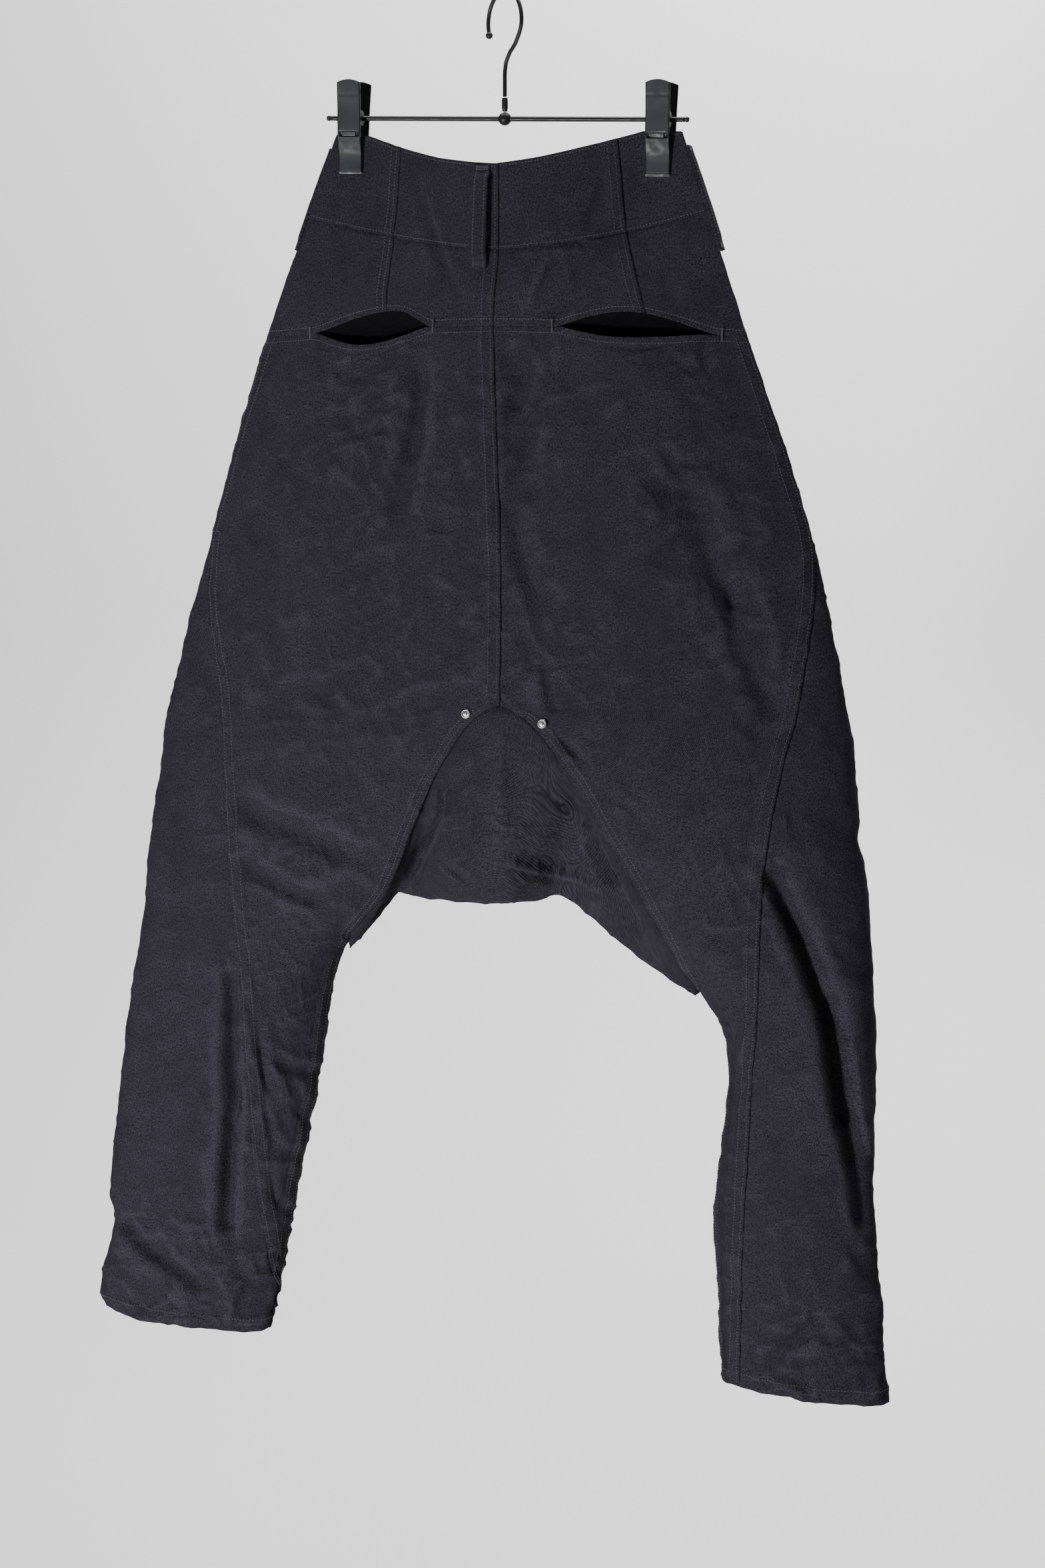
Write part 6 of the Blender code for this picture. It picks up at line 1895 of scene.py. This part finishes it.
class BuildHanger(bpy.types.Operator):
    """Makes the hanger's hook, swivel and bar"""

    bl_idname = "harem_pants.build_hanger"
    bl_label = "Build Hanger"

    def execute(self, context):
        build_hook()
        build_swivel()
        build_bar()
        return {"FINISHED"}


class BuildClips(bpy.types.Operator):
    """Makes the two clips that hold the waistband"""

    bl_idname = "harem_pants.build_clips"
    bl_label = "Build Clips"

    def execute(self, context):
        for name, side in (("left", -1), ("right", 1)):
            build_clip(name, side * CLIP_X)
        return {"FINISHED"}


class BuildStage(bpy.types.Operator):
    """Makes the floor, the lights and the camera"""

    bl_idname = "harem_pants.build_stage"
    bl_label = "Build Stage"

    def execute(self, context):
        stage = context.scene.harem_pants.stage
        build_camera()
        build_backdrop(stage)
        build_world(stage.world_strength)
        for light in LIGHTS:
            add_light(light, getattr(stage, light.name + "_power"))
        return {"FINISHED"}


BUILDERS = (BuildPanels, BuildWaist, BuildGusset, BuildPocketBags, BuildTrims, BuildStitches, BuildHanger,
            BuildClips, BuildStage)


class HaremPantsPanel(bpy.types.Panel):
    """Lists the garment's sizes, colours and builders"""

    bl_idname = "VIEW3D_PT_harem_pants"
    bl_label = "Harem Pants"
    bl_space_type = "VIEW_3D"
    bl_region_type = "UI"
    bl_category = "Harem Pants"

    def draw(self, context):
        held = context.scene.harem_pants
        for group in (held.cloth, held.hanger, held.stage):
            box = self.layout.box()
            for name in group.__annotations__:
                box.prop(group, name)
        for builder in BUILDERS:
            self.layout.operator(builder.bl_idname)


CLASSES = (HaremPantsCloth, HaremPantsHanger, HaremPantsStage, HaremPantsSettings, *BUILDERS, HaremPantsPanel)


def register():
    for each in CLASSES:
        bpy.utils.register_class(each)
    bpy.types.Scene.harem_pants = PointerProperty(type=HaremPantsSettings)


def unregister():
    del bpy.types.Scene.harem_pants
    for each in reversed(CLASSES):
        bpy.utils.unregister_class(each)


def main():
    register()
    for builder in BUILDERS:
        getattr(bpy.ops.harem_pants, builder.bl_idname.split(".")[1])()


if __name__ == "__main__":
    main()
